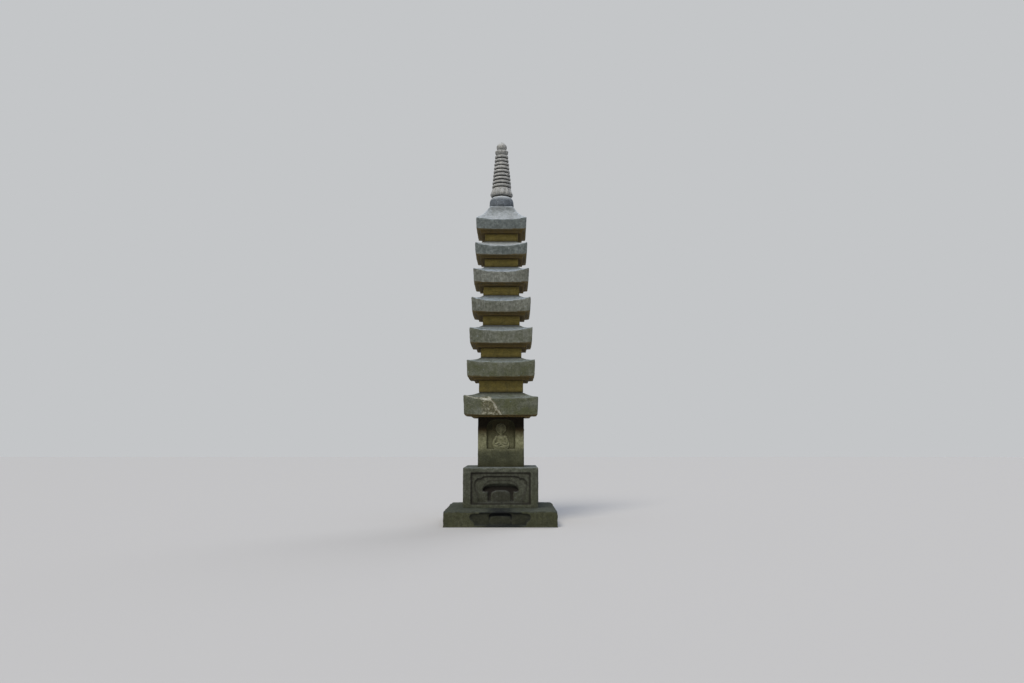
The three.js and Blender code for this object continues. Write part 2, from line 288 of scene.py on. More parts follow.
def outline_block(name, outline, front, back, rounding=0.0, foot_rise=0.0, crown_fall=0.0):
    """A block on an outline of (x, z) points, from y = front to y = back, with a rounded front.

    A foot rise slopes the back, so that the cut gets shallower towards its foot. A crown fall lowers
    the upper half of the back, so that a cut gets a sloping ceiling."""
    bench()
    bpy.ops.mesh.primitive_circle_add(vertices=len(outline), radius=1, fill_type="NGON")
    block = named(name)
    for point, (x, z) in zip(block.data.vertices, outline):
        point.co = (x, back, z)
    middle = sum((Vector((x, 0, z)) for x, z in outline), Vector()) / len(outline)
    across, upward = zip(*outline)
    width = max(across) - min(across)
    crown, foot = max(upward), min(upward)
    open_mesh(block)
    draw_out((0, front + rounding - back, 0))
    for turn in range(ROUNDING_TURN, 91, ROUNDING_TURN) if rounding else ():
        last = math.radians(turn - ROUNDING_TURN)
        angle = math.radians(turn)
        forward = rounding * (math.sin(last) - math.sin(angle))
        shrink = 1 - 2 * rounding * (math.cos(last) - math.cos(angle)) / width
        draw_out((0, forward, 0))
        bpy.ops.transform.resize(value=(shrink, 1, shrink), center_override=middle)
    close_mesh()
    for point in block.data.vertices[: len(outline)]:
        share = (point.co.z - foot) / (crown - foot)
        point.co.y -= foot_rise * (1 - share)
        point.co.z -= crown_fall * max(0, 2 * share - 1)
    return block


def on_four_faces(piece):
    """Copies a piece made for the front to the other three faces and joins the four."""
    copies = [piece]
    for side in range(1, SIDES):
        bench(piece)
        bpy.ops.object.duplicate()
        turned_copy = bpy.context.object
        turned_copy.rotation_euler.z = side * math.tau / SIDES
        settle(turned_copy)
        copies.append(turned_copy)
    bench(*copies[1:], piece)
    bpy.ops.object.join()
    return piece


def combine(piece, tool, operation):
    """Cuts the tool from the piece, or adds it, and clears the tool away."""
    finish_with(piece, "BOOLEAN", object=tool, operation=operation, solver="EXACT")
    bpy.data.objects.remove(tool)


# %% [markdown]
# ## Weathering
#
# Rain rounds an edge unevenly, frost lifts small chips and lichen eats pits. A fine even skin of
# faces is needed to show that, which the Remesh modifier gives. The sharpest edges are then found
# from how far each point stands out from its neighbours, and Displace modifiers push the surface
# inwards only. Arrises that face down stay dry under the eaves and keep their edge better. The
# beds on which the stones lie stay flat.

# %% Weather a stone
# how deep an arris that faces down is chipped, against one out in the rain
DRY_ARRIS, FACING_DOWN = 0.35, -0.15
# in voxels: how far a sharp edge stands out, and how thick the flat skin of a bed is
SHARP_EDGE, BED_SKIN = 0.28, 0.6
FAINTEST_WEIGHT = 0.004
stones = {}


def clouds(name, size, contrast):
    """A soft noise texture with lumps of about this size in metres."""
    texture = bpy.data.textures.new(name, "CLOUDS")
    texture.noise_scale = size
    texture.noise_depth = 2
    texture.contrast = contrast
    return texture


DRESSING = clouds("uneven_hand_dressing", 0.22, 1.4)
ROUGHNESS = clouds("rough_rained_on_skin", 0.035, 1.6)
CHIPPING = clouds("chipped_arris", 0.075, 2.6)


def stone_skin(piece):
    """Points, normals and edges of a piece as arrays."""
    mesh = piece.data
    points = np.empty(len(mesh.vertices) * 3)
    normals = np.empty(len(mesh.vertices) * 3)
    edges = np.empty(len(mesh.edges) * 2, dtype=np.int64)
    mesh.vertices.foreach_get("co", points)
    mesh.vertices.foreach_get("normal", normals)
    mesh.edges.foreach_get("vertices", edges)
    return points.reshape(-1, 3), normals.reshape(-1, 3), edges.reshape(-1, 2)


def spread(values, edges, rounds):
    """Averages each point's value with its neighbours', again and again."""
    count = np.bincount(edges.ravel(), minlength=len(values))
    for _ in range(rounds):
        total = np.bincount(edges[:, 0], values[edges[:, 1]], len(values))
        total += np.bincount(edges[:, 1], values[edges[:, 0]], len(values))
        values = (values + total) / (count + 1)
    return values


def standing_out(points, normals, edges, rounds):
    """How far each point stands out of the surface around it: above 0 on an edge, below in a hollow."""
    means = np.column_stack([spread(points[:, axis], edges, rounds) for axis in range(3)])
    return np.einsum("ij,ij->i", points - means, normals)


def paint_weights(piece, name, weights):
    """Makes a vertex group, as weight painting does."""
    group = piece.vertex_groups.new(name=name)
    for i, weight in enumerate(weights):
        if weight > FAINTEST_WEIGHT:
            group.add((i,), float(weight), "REPLACE")


def weather(node, piece, voxel, foot, seat, chip=0.012, dressing=0.004, rough=0.003):
    """Gives a stone an even skin, chips and rounds its edges, roughens its faces and puts it by.

    The beds stay flat: foot and seat say how far from the axis they reach. All is in metres."""
    low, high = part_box(node)
    finish_with(piece, "REMESH", mode="VOXEL", voxel_size=voxel)
    points, normals, edges = stone_skin(piece)
    edge = np.clip(standing_out(points, normals, edges, 3) / (SHARP_EDGE * voxel), 0, 1)
    edge *= np.where(normals[:, 2] < FACING_DOWN, DRY_ARRIS, 1)
    free = np.ones(len(points))
    for level, reach in (low.z, foot), (high.z, seat):
        free[(abs(points[:, 2] - level) < BED_SKIN * voxel) & (abs(points[:, :2]).max(axis=1) < reach)] = 0
    paint_weights(piece, "arris", spread(edge, edges, 1) * free)
    paint_weights(piece, "free", spread(free, edges, 1) * free)
    inward = {"mid_level": 1.0, "texture_coords": "LOCAL", "direction": "NORMAL"}
    finish_with(piece, "DISPLACE", texture=CHIPPING, strength=chip, vertex_group="arris", **inward)
    finish_with(piece, "SMOOTH", factor=0.5, iterations=1, vertex_group="arris")
    finish_with(piece, "DISPLACE", texture=DRESSING, strength=dressing, vertex_group="free", **inward)
    finish_with(piece, "DISPLACE", texture=ROUGHNESS, strength=rough, vertex_group="free", **inward)
    piece.vertex_groups.clear()
    bench(piece)
    bpy.ops.object.shade_smooth()
    stones[node] = piece, voxel
    print(node, len(piece.data.polygons), "faces")


# %% [markdown]
# ## Plinth
#
# The plinth is one wide slab. Its top falls away a little from the seat of the tower, so that rain
# runs off, and each side has a sunk panel with a cusped outline, a traditional form, with an arched
# opening and a low mound inside it. The cusped outline is a row of corners, the arch a row of
# points on a curve.

# %% Draw the carved outlines
# the right half of the cusped outline, from its flared foot to its crown, in shares of its size
CUSPS = [
    (0.86, 0.0), (0.84, 0.1), (0.87, 0.25), (0.97, 0.45), (1.0, 0.65), (0.96, 0.82), (0.86, 0.91),
    (0.74, 0.9), (0.68, 0.97), (0.5, 1.0),
]
ARCH_STEPS, ARCH_FLATNESS = 6, 0.12
FOOT_RISE = 0.6  # how far the recess closes at its foot, as a share of its depth behind the mound


def both_halves(right, level):
    """A whole outline in metres from its right half in mm above a level."""
    right = [(x * MM, level + z * MM) for x, z in right]
    return right + [(-x, z) for x, z in reversed(right)]


def cusped_outline(half_width, bottom, top, level):
    """A flat crown, a cusp and a round shoulder on each side, a drawn-in flank and a flared foot."""
    return both_halves([(x * half_width, bottom + z * (top - bottom)) for x, z in CUSPS], level)


def arch_outline(half_width, bottom, top, shoulder, level):
    """Straight sides and a flattened arch over them."""
    right = [(half_width, bottom)]
    for step in range(ARCH_STEPS + 1):
        t = step / ARCH_STEPS
        start, middle, end = (1 - t) ** 2, 2 * t * (1 - t), t**2
        x = start * half_width + middle * half_width + end * (half_width - shoulder)
        z = start * (top - shoulder) + middle * (top - ARCH_FLATNESS * shoulder) + end * top
        right.append((x, z))
    return both_halves(right, level)


def carve_panels(stone, half, panel, arch, mound, mound_round, crown_fall=0):
    """Cuts a cusped panel and an arch into the four faces, and leaves a mound standing in the arch.

    Panel, arch and mound are each an outline and its depth below the face, in mm."""
    face = -half * MM
    mound_line, mound_depth = mound
    foot_rise = FOOT_RISE * (arch[1] - mound_depth)
    for outline, depth, rise, fall in (*panel, 0, 0), (*arch, foot_rise, crown_fall):
        sloped = {"foot_rise": rise * MM, "crown_fall": fall * MM}
        cutter = outline_block("cutter", outline, face - OVERCUT, face + depth * MM, **sloped)
        combine(stone, on_four_faces(cutter), "DIFFERENCE")
    behind = face + arch[1] * MM + OVERCUT
    cushion = outline_block("cushion", mound_line, face + mound_depth * MM, behind, mound_round * MM)
    combine(stone, on_four_faces(cushion), "UNION")


# %% Block out, carve and weather the plinth
PLINTH_HALF, PLINTH_EDGE, PLINTH_ARRIS = 814, 229, 16
PLINTH_SEAT, PLINTH_SEAT_HALF = 250, 560
PLINTH_VOXEL = 0.011
ARRIS_TURN = 0.3
JOINT = 0.004  # how far, in metres, the weather gets into a joint


def slab_rings(half, foot, top, arris):
    """Rings of a slab with a rounded upper arris: half width and arris in mm, levels in metres."""
    turn = ARRIS_TURN * arris
    upright = [(half * MM, foot), (half * MM, top - arris * MM)]
    return upright + [((half - turn) * MM, top - turn * MM), ((half - arris) * MM, top)]


plinth_rings = slab_rings(PLINTH_HALF, 0, PLINTH_EDGE * MM, PLINTH_ARRIS)
plinth = grown_block("plinth", plinth_rings + [(PLINTH_SEAT_HALF * MM, PLINTH_SEAT * MM)])
# each is an outline and its depth below the face, in mm
plinth_panel = cusped_outline(440, 22, 206, level=0), 16
plinth_arch = arch_outline(165, 30, 194, shoulder=60, level=0), 52
plinth_mound = arch_outline(150, 30, 160, shoulder=70, level=0), 20
carve_panels(plinth, PLINTH_HALF, plinth_panel, plinth_arch, plinth_mound, mound_round=16)
base_low, base_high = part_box("base_block")
weather("plinth", plinth, PLINTH_VOXEL, 1, base_high.x - JOINT, chip=0.016, dressing=0.006)

# %% [markdown]
# ## Base block
#
# The base is a tall block. Each face has a plain sunk frame, and in it the same kind of cusped
# panel, larger and cut deeper. The arch is wider at its shoulders than at its foot and its ceiling
# slopes, so that it reads as a dark crescent over its mound.

# %% Block out, carve and weather the base
BASE_HALF, BASE_ARRIS = 553, 14
BASE_VOXEL = 0.009
FRAME_HALF, FRAME_BOTTOM, FRAME_TOP, FRAME_DEPTH = 428, 55, 498, 13
# the right half of the arch, from its foot over the shoulder to the crown, in mm
BASE_ARCH = [
    (181, 90), (181, 222), (196, 230), (226, 228), (250, 236), (260, 256), (251, 294), (228, 338),
    (188, 372), (130, 387), (60, 390),
]
CEILING_FALL = 92

base = grown_block("base_block", slab_rings(BASE_HALF, base_low.z, base_high.z, BASE_ARRIS))
frame_line = both_halves([(FRAME_HALF, FRAME_BOTTOM), (FRAME_HALF, FRAME_TOP)], base_low.z)
base_panel = cusped_outline(386, 75, 448, level=base_low.z), 24
base_arch = both_halves(BASE_ARCH, base_low.z), 78
base_mound = arch_outline(146, 90, 252, shoulder=90, level=base_low.z), 28
frame_cutter = outline_block("cutter", frame_line, -BASE_HALF * MM - OVERCUT, (FRAME_DEPTH - BASE_HALF) * MM)
combine(base, on_four_faces(frame_cutter), "DIFFERENCE")
carve_panels(base, BASE_HALF, base_panel, base_arch, base_mound, 24, CEILING_FALL)
weather("base_block", base, BASE_VOXEL, 1, STOREYS[0][0] / 2 * MM - JOINT, chip=0.014)

# %% [markdown]
# ## Shafts
#
# The shafts are plain square stones between the roofs, with slightly worn arrises. Only the lowest
# is tall. A block drawn up from a grid is enough, with its upright edges beveled before it is
# weathered.

# %% Block out a shaft
SHAFT_ARRIS, SHAFT_SKIN = 0.010, 0.002
SHAFT_VOXEL, FIRST_SHAFT_VOXEL = 0.014, 0.0075
SAME_PLACE = 0.0005  # points this close, in metres, are taken as one place


def bevel_upright_edges(piece, reach):
    """Bevels the four upright edges of a square block."""
    bench(piece)
    bpy.ops.object.mode_set(mode="EDIT")
    bpy.ops.mesh.select_mode(type="EDGE")
    bpy.ops.mesh.select_all(action="DESELECT")
    bpy.ops.object.mode_set(mode="OBJECT")
    for edge in piece.data.edges:
        start, end = (piece.data.vertices[i].co for i in edge.vertices)
        at_corner = all(min(abs(co.x), abs(co.y)) > reach - SAME_PLACE for co in (start, end))
        edge.select = at_corner and abs(start.z - end.z) > SAME_PLACE
    bpy.ops.object.mode_set(mode="EDIT")
    bpy.ops.mesh.bevel(offset=SHAFT_ARRIS, segments=2, affect="EDGES")
    bpy.ops.object.mode_set(mode="OBJECT")


def shaft_block(node):
    """A square shaft with beveled upright edges."""
    low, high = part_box(node)
    half = high.x + SHAFT_SKIN
    piece = grown_block(node, [(half, low.z), (half, (low.z + high.z) / 2), (half, high.z)])
    bevel_upright_edges(piece, half)
    return piece


for node in SHAFT_NODES[1:]:
    weather(node, shaft_block(node), SHAFT_VOXEL, 1, 1)


# %% [markdown]
# ## The seated figure
#
# Each face of the lowest shaft has a shallow arched niche with a seated figure in low relief before
# two round haloes. The figure is built up from rounded lumps, as a sculptor adds clay: a row of
# petals, crossed legs, robe, arms, hands in the lap, head and topknot. The face is calm and general,
# on the usual proportions: eyes on the middle line, nose and mouth in the lower half. Remeshing
# melts the lumps into one skin, and the four copies are then added to the stone.

# %% Build the figure from lumps
NICHE_HALF, NICHE_SILL, NICHE_CROWN, NICHE_DEPTH, NICHE_SHOULDER = 210, 261, 698, 32, 130
FIGURE_VOXEL, FIGURE_SCALE = 0.004, 0.82
shaft_low, shaft_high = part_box("first_storey_shaft")
niche_floor = -shaft_high.x + NICHE_DEPTH * MM


def lump(x, up, half_width, half_height, rise, turn=0.0, out=0.0):
    """A rounded form on the niche floor: place, half sizes and height above the floor, in mm.

    Places and half sizes are those of a figure 1 / FIGURE_SCALE times as large."""
    bench()
    bpy.ops.mesh.primitive_uv_sphere_add(segments=24, ring_count=14, radius=1)
    form = named("lump")
    form.scale = (FIGURE_SCALE * half_width * MM, rise * MM, FIGURE_SCALE * half_height * MM)
    form.rotation_euler = (0, math.radians(turn), 0)
    sill = shaft_low.z + NICHE_SILL * MM
    form.location = (FIGURE_SCALE * x * MM, niche_floor - out * MM, sill + FIGURE_SCALE * up * MM)
    settle(form)
    return form


def both_sides(x, *rest, turn=0.0, out=0.0):
    """The same form on the left and on the right."""
    return [lump(x, *rest, turn=turn, out=out), lump(-x, *rest, turn=-turn, out=out)]


def halo(height, radius, rise):
    """A flat round disc with a sloping edge, from the niche floor."""
    bench()
    bpy.ops.mesh.primitive_cone_add(
        vertices=ROUND_STEPS,
        radius1=radius * MM,
        radius2=(radius - rise) * MM,
        depth=2 * rise * MM,
        location=(0, niche_floor, shaft_low.z + height * MM),
        rotation=(math.radians(90), 0, 0),
    )
    disc = named("halo")
    settle(disc)
    return disc


HEAD = 356

parts = [halo(338, 136, 13), halo(563, 87, 11)]
# throne of petals
parts += [lump(x, 10, 15, 17, 24) for x in range(-108, 109, 24)]
parts += [lump(0, 24, 116, 9, 21)]
# crossed legs, robe over the knees, feet
parts += both_sides(76, 48, 62, 30, 27, turn=-8)
parts += both_sides(42, 64, 62, 21, 28, turn=14)
parts += [lump(0, 38, 60, 14, 28), lump(0, 72, 46, 12, 29)]
# body, chest and the shoulders
parts += [lump(0, 148, 84, 100, 25), lump(0, 194, 76, 46, 29)]
parts += both_sides(76, 212, 38, 32, 27)
# upper arms, forearms and joined hands
parts += both_sides(108, 154, 27, 64, 28, turn=-10)
parts += both_sides(68, 98, 58, 19, 30, turn=17)
parts += [lump(0, 88, 30, 13, 34), lump(0, 98, 14, 10, 35)]
# neck and head
parts += [lump(0, 274, 33, 34, 22), lump(0, HEAD, 54, 62, 34)]
parts += both_sides(56, HEAD - 7, 11, 34, 22)
parts += [lump(0, HEAD + 38, 57, 33, 35), lump(0, HEAD + 72, 29, 21, 32)]
# face: brow, lids, nose, mouth and chin
parts += both_sides(21, HEAD + 15, 19, 6, 10, turn=6, out=28)
parts += both_sides(21, HEAD + 1, 15, 7, 9, out=27)
parts += [lump(0, HEAD - 3, 8, 21, 13, out=29), lump(0, HEAD - 17, 13, 8, 13, out=29)]
parts += [lump(0, HEAD - 34, 19, 7, 10, out=28), lump(0, HEAD - 49, 19, 12, 10, out=22)]

bench(*parts)
bpy.ops.object.join()
figure = named("figure")
finish_with(figure, "REMESH", mode="VOXEL", voxel_size=FIGURE_VOXEL)
finish_with(figure, "SMOOTH", factor=0.5, iterations=2)
print("figure", len(figure.data.polygons), "faces")

# %% Cut the niches and set the figures in them
first_shaft = shaft_block("first_storey_shaft")
niche_outline = arch_outline(NICHE_HALF, NICHE_SILL, NICHE_CROWN, NICHE_SHOULDER, shaft_low.z)
niche_cutter = outline_block("cutter", niche_outline, -shaft_high.x - OVERCUT, niche_floor)
combine(first_shaft, on_four_faces(niche_cutter), "DIFFERENCE")
weather("first_storey_shaft", first_shaft, FIRST_SHAFT_VOXEL, 1, 1, rough=0.0025)
combine(first_shaft, on_four_faces(figure), "UNION")
bench(first_shaft)
bpy.ops.object.shade_smooth()
print("with its four figures", len(first_shaft.data.polygons), "faces")

# %% [markdown]
# ## Roofs
#
# Each roof is one stone: a step over the shaft, a flat underside, a thick fascia that leans out a
# little, a rounded arris on which rain and light fall, and a hollow slope up to the seat of the
# next shaft. The corners lift. The block is drawn up ring by ring, then a weight painted along each
# ring, strongest at the corners, lets one Displace modifier raise them all.

# %% Block out a roof
STEP_SHARE = 0.5
FASCIA_LEAN = 12
WORN_CORNER_SHARE = 0.45
CORNER_CURVE, HIP_CURVE = 2.3, 1.3
UNDERSIDE_LIFT = 0.3
SLOPE_HOLLOW = 0.55
SLOPE_STEPS = (0.16, 0.3, 0.45, 0.6, 0.8, 1.0)
# the rounded arris: how far in, how far below the sharp edge, in mm
ARRIS_ROUNDING = ((0.5, 10), (2.5, 4), (7, 0.5), (16, -2.5))
# what weathering will take from the faces, the corner tips, the arris and the underside, in mm
ROOF_SKIN, TIP_SKIN, ARRIS_SKIN, UNDERSIDE_SKIN = 4, 5, 7, 5
ROOF_VOXEL, BROKEN_ROOF_VOXEL = 0.011, 0.0072


def roof_rings(storey, level, top_width):
    """Rings of (half width, height, share of the corner lift), in metres."""
    shaft, _, step, roof, fascia, _, slope = storey
    half = roof / 2 + ROOF_SKIN
    fascia, slope = fascia + ARRIS_SKIN, slope - ARRIS_SKIN
    step_half = (shaft + STEP_SHARE * (roof - shaft)) / 2
    rings = [(step_half, 0, 0), (step_half, step, 0)]
    rings.append((half - FASCIA_LEAN, step - UNDERSIDE_SKIN, UNDERSIDE_LIFT))
    for inward, below in ARRIS_ROUNDING:
        share = UNDERSIDE_LIFT + (1 - UNDERSIDE_LIFT) * min(1, 1 - below / fascia)
        rings.append((half - inward, step + fascia - below, share))
    for t in SLOPE_STEPS:
        rise = slope * ((1 - SLOPE_HOLLOW) * t + SLOPE_HOLLOW * t**2)
        rings.append((half + (top_width / 2 - half) * t, step + fascia + rise, (1 - t) ** HIP_CURVE))
    return [(reach * MM, level + height * MM, share) for reach, height, share in rings]


def lift_corners(piece, rings, lift, spared_corner=None):
    """Raises each ring towards its corners, by its own share of the lift."""
    weights = []
    for vertex in piece.data.vertices:
        x, y, z = vertex.co
        reach = max(abs(x), abs(y), MM)
        on_ring = (s for r, h, s in rings if abs(reach - r) < SAME_PLACE and abs(z - h) < SAME_PLACE)
        share = next(on_ring, 0)
        if spared_corner and x * spared_corner[0] > 0 and y * spared_corner[1] > 0:
            share *= WORN_CORNER_SHARE
        weights.append(share * (min(abs(x), abs(y)) / reach) ** CORNER_CURVE)
    paint_weights(piece, "eave_lift", weights)
    upward = {"direction": "Z", "mid_level": 0.0, "strength": lift * MM}
    finish_with(piece, "DISPLACE", vertex_group="eave_lift", **upward)
    piece.vertex_groups.clear()


def roof_block(index, spared_corner=None):
    """A whole roof, lifted at its corners, and the width of its seat in mm."""
    storey, node = STOREYS[index], ROOF_NODES[index]
    is_top = index + 1 == len(STOREYS)
    top_width = FINIAL_SEAT_WIDTH if is_top else STOREYS[index + 1][0] + SEAT_MARGIN
    rings = roof_rings(storey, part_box(node)[0].z, top_width)
    piece = grown_block(node, [ring[:2] for ring in rings])
    lift_corners(piece, rings, storey[5] + TIP_SKIN, spared_corner)
    return piece, top_width


# %% [markdown]
# ## The broken front of the lowest roof
#
# The lowest roof has lost a flake from the left half of its front, along a slanting crack, and the
# arris over it is broken off as far as the left corner. Its right front corner is rounded off. Stone
# breaks in ripples and shell-like scoops, which no operator draws, so here the points of a fine sheet
# are moved by a rule: steps that run along the crack, scoops and lumps. The sheet is then drawn away
# from the stone into a block that cuts it. A bisecting plane takes the corner.

# %% Shape the breaks in the lowest roof
_, _, LOWEST_STEP, LOWEST_WIDTH, LOWEST_FASCIA, LOWEST_LIFT, _ = STOREYS[0]
FRONT_RIGHT = (1, -1)
CORNER_LOSS = 18
# the flake, in mm: from its left end to the crack, which leans from its foot to its top, and how
# deep it is at its left end and at the crack, with a wall of this width
FLAKE_LEFT, CRACK, FLAKE_OVERRUN = -332, (36, -166), 40
FLAKE_DEPTH, FLAKE_WALL = (2, 40), 42
RIPPLE_WIDTH, RIPPLE_HEIGHT, RIPPLE_WAVE = 50, 18, 24
# shell-like scoops and lumps: how wide and how deep, in mm
SCOOPS, LUMPS = ((110, 24), (48, 10)), ((34, 6), (14, 2))
MEAN_SCOOP = 0.4
# the broken arris over the flake: from x to x, how far in and how far down at each end, in mm
LEDGE, LEDGE_IN, LEDGE_DOWN = (-590, -146), (16, 52), (10, 48)


def between(ends, share):
    """The value that lies this share of the way from the first to the second."""
    return ends[0] + (ends[1] - ends[0]) * share


def ruggedness(place):
    """How far a broken face stands in or out at a place given in mm."""
    scooped = MEAN_SCOOP * SCOOPS[0][1]
    scooped -= sum(deep * noise.voronoi(place / wide)[0][0] for wide, deep in SCOOPS)
    return scooped + sum(high * noise.noise(place / wide) for wide, high in LUMPS)


def crack_line(up):
    """Where the crack stands, in mm from the axis, at a height in mm above the foot of the fascia."""
    share = (up + FLAKE_OVERRUN) / (LOWEST_FASCIA + 2 * FLAKE_OVERRUN)
    wander = 6 * np.sin(up / 23) + 4 * np.sin(up / 9 + 1)
    return between(CRACK, share) + wander


def eave_line(x):
    """How high the arris of the lowest roof stands over the foot of its fascia, in mm."""
    to_corner = abs(x) / (LOWEST_WIDTH / 2)
    return LOWEST_FASCIA + ARRIS_SKIN + (LOWEST_LIFT + TIP_SKIN) * to_corner**CORNER_CURVE


def flake_place(along, across):
    """A point of the flake's bed in the fascia, in mm from the axis and the foot of the fascia."""
    up = (LOWEST_FASCIA + 2 * FLAKE_OVERRUN) * across - FLAKE_OVERRUN
    right = crack_line(up)
    x = between((FLAKE_LEFT, right), along)
    place = Vector((x, up, 0))
    ripple = ((right - x + RIPPLE_WAVE * noise.noise(place / 60)) / RIPPLE_WIDTH) % 1
    depth = between(FLAKE_DEPTH, along**0.6) * min(1, (right - x) / FLAKE_WALL)
    broken = ruggedness(place) - RIPPLE_HEIGHT * ripple
    depth += broken * min(1, max(0, (right - x - 8) / 30)) * min(1, 0.35 + along)
    return x, depth - LOWEST_WIDTH / 2 - ROOF_SKIN, up


def ledge_place(along, across):
    """A point of the slanting break along the arris, which runs on past the stone at both edges."""
    x = between(LEDGE, along)
    reach_in = between(LEDGE_IN, along)
    share = 1.8 * across - 0.4
    rugged = 0.5 * ruggedness(Vector((x, share * reach_in, 7)))
    up = eave_line(x) - between(LEDGE_DOWN, along) * (1 - share) + rugged
    return x, share * reach_in - LOWEST_WIDTH / 2 - ROOF_SKIN, up


# %% Break the lowest roof and weather all seven
SHEET_STEPS = {"x_subdivisions": 80, "y_subdivisions": 54}
OUT_OF_FLAKE, OUT_OF_LEDGE = (0, -0.12, 0), (0, -0.06, 0.09)
SEAT_RIM = 0.01  # how far, in metres, the weather gets in over the edge of a seat


def broken_block(name, place, level, away):
    """A fine sheet bent to the face of a break and drawn away from the stone into a block."""
    bench()
    bpy.ops.mesh.primitive_grid_add(size=1, **SHEET_STEPS)
    block = named(name)
    for vertex in block.data.vertices:
        x, y, up = place(vertex.co.x + 0.5, vertex.co.y + 0.5)
        vertex.co = (x * MM, y * MM, level + (LOWEST_STEP + up) * MM)
    open_mesh(block)
    draw_out(away)
    close_mesh()
    return block


def take_corner(piece):
    """Cuts the front right corner of the lowest roof off along an upright plane."""
    cut = (LOWEST_WIDTH / 2 - CORNER_LOSS / 2) * MM
    open_mesh(piece)
    bpy.ops.mesh.bisect(plane_co=(cut, -cut, 0), plane_no=(*FRONT_RIGHT, 0), use_fill=True, clear_outer=True)
    bpy.ops.object.mode_set(mode="OBJECT")


for index, node in enumerate(ROOF_NODES):
    is_lowest = index == 0
    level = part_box(node)[0].z
    roof, top_width = roof_block(index, FRONT_RIGHT if is_lowest else None)
    if is_lowest:
        take_corner(roof)
        combine(roof, broken_block("flake", flake_place, level, OUT_OF_FLAKE), "DIFFERENCE")
        combine(roof, broken_block("ledge", ledge_place, level, OUT_OF_LEDGE), "DIFFERENCE")
    voxel = BROKEN_ROOF_VOXEL if is_lowest else ROOF_VOXEL
    foot, seat = STOREYS[index][0] / 2 * MM - JOINT, top_width / 2 * MM - SEAT_RIM
    weather(node, roof, voxel, foot, seat, chip=0.009, dressing=0.005, rough=0.004)


# %% [markdown]
# ## Finial
#
# The top is turned work: an upturned bowl, a collar of petals, nine rings round a core, a small
# flower and a round jewel with a point. Each is a disc drawn up along its profile. The petals are
# pressed out of the turned collar by moving its points in and out round the axis, and the collar
# is then weathered like the rest.

# %% Draw the profiles of the finial
CORE = 20  # how wide the last ring of a profile is, in mm, so that the stone closes flat
BOWL_RADIUS, BOWL_HEIGHT = 195, 178
BOWL_FOOT = BOWL_RADIUS - 16
RINGS, LOWEST_RING, RING_TAPER = 9, 157, 5.8
RING_PITCH, RING_THICKNESS, RING_GROOVE = 61, 42, 23

ring_profile = []
for ring in range(RINGS):
    radius = LOWEST_RING - RING_TAPER * ring
    foot, top = RING_PITCH * ring, RING_PITCH * (ring + 1)
    edge = top - RING_THICKNESS
    ring_profile += [(radius - RING_GROOVE, foot), (radius - RING_GROOVE, edge - 3), (radius - 6, edge)]
    ring_profile += [(radius - 1, edge + 6), (radius, edge + 20)]
    ring_profile += [(radius - 1, top - 8), (radius - 7, top - 2)]
ring_profile += [(LOWEST_RING - RING_TAPER * RINGS - RING_GROOVE, top), (CORE, top)]

# radius and height above the foot of each stone, in mm
PROFILES = {
    "finial_bowl": [
        (BOWL_FOOT, 0), (191, 22), (BOWL_RADIUS, 50), (194, 80), (191, 108), (186, 130), (178, 149),
        (169, 163), (158, 173), (148, BOWL_HEIGHT), (CORE, BOWL_HEIGHT),
    ],
    "finial_lotus": [
        (138, 0), (140, 10), (164, 21), (179, 34), (184, 48), (183, 64), (177, 82), (169, 100),
        (162, 117), (157, 131), (154, 142), (146, 150), (CORE, 150),
    ],
    "finial_rings": ring_profile,
    "finial_upper_lotus": [
        (72, 0), (80, 6), (88, 16), (100, 32), (110, 48), (115, 62), (114, 71), (102, 79), (92, 82),
        (CORE, 82),
    ],
    "finial_jewel": [
        (43, 0), (60, 9), (73, 24), (82, 42), (86, 58), (85, 76), (79, 94), (68, 110), (52, 126),
        (36, 140), (21, 152), (11, 162), (5, 169), (2, 172),
    ],
}
# petals: how many, how high the stone is in mm, its turn in degrees, and by how many mm the petals
# swell at each share of the height
PETALS = {
    "finial_lotus": (12, 150, 8.7, (0.12, 0), (0.24, 24), (0.5, 22), (0.8, 16), (0.96, 2)),
    "finial_upper_lotus": (8, 82, 0, (0, 0), (0.2, 8), (0.6, 18), (0.85, 16), (1, 0)),
}
print(RINGS, "rings,", top, "mm high in all")

# %% Turn, scallop and weather the finial stones
FINIAL_VOXEL, PETAL_ROUNDNESS = 0.0075, 0.6
FINIAL_CHIPS = {"finial_rings": 0.004}


def scallop(piece, level, petals, height, turn, *swells):
    """Presses petals out of a turned collar by moving its points in and out."""
    shares, depths = zip(*swells)
    for vertex in piece.data.vertices:
        x, y, z = vertex.co
        radius = math.hypot(x, y)
        petal = abs(math.sin((math.atan2(y, x) + math.radians(turn)) * petals / 2)) ** PETAL_ROUNDNESS
        swell = np.interp((z - level) / (height * MM), shares, depths) * MM
        if radius > CORE * MM:
            grown = radius + swell * (petal - 1)
            vertex.co.x, vertex.co.y = x * grown / radius, y * grown / radius


for node, profile in PROFILES.items():
    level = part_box(node)[0].z
    piece = grown_block(node, [(r * MM, level + z * MM) for r, z in profile], turned=True)
    if node in PETALS:
        scallop(piece, level, *PETALS[node])
    seat = 0 if node == "finial_jewel" else 1
    weather(node, piece, FINIAL_VOXEL, 1, seat, FINIAL_CHIPS.get(node, 0.007), dressing=0.003, rough=0.002)
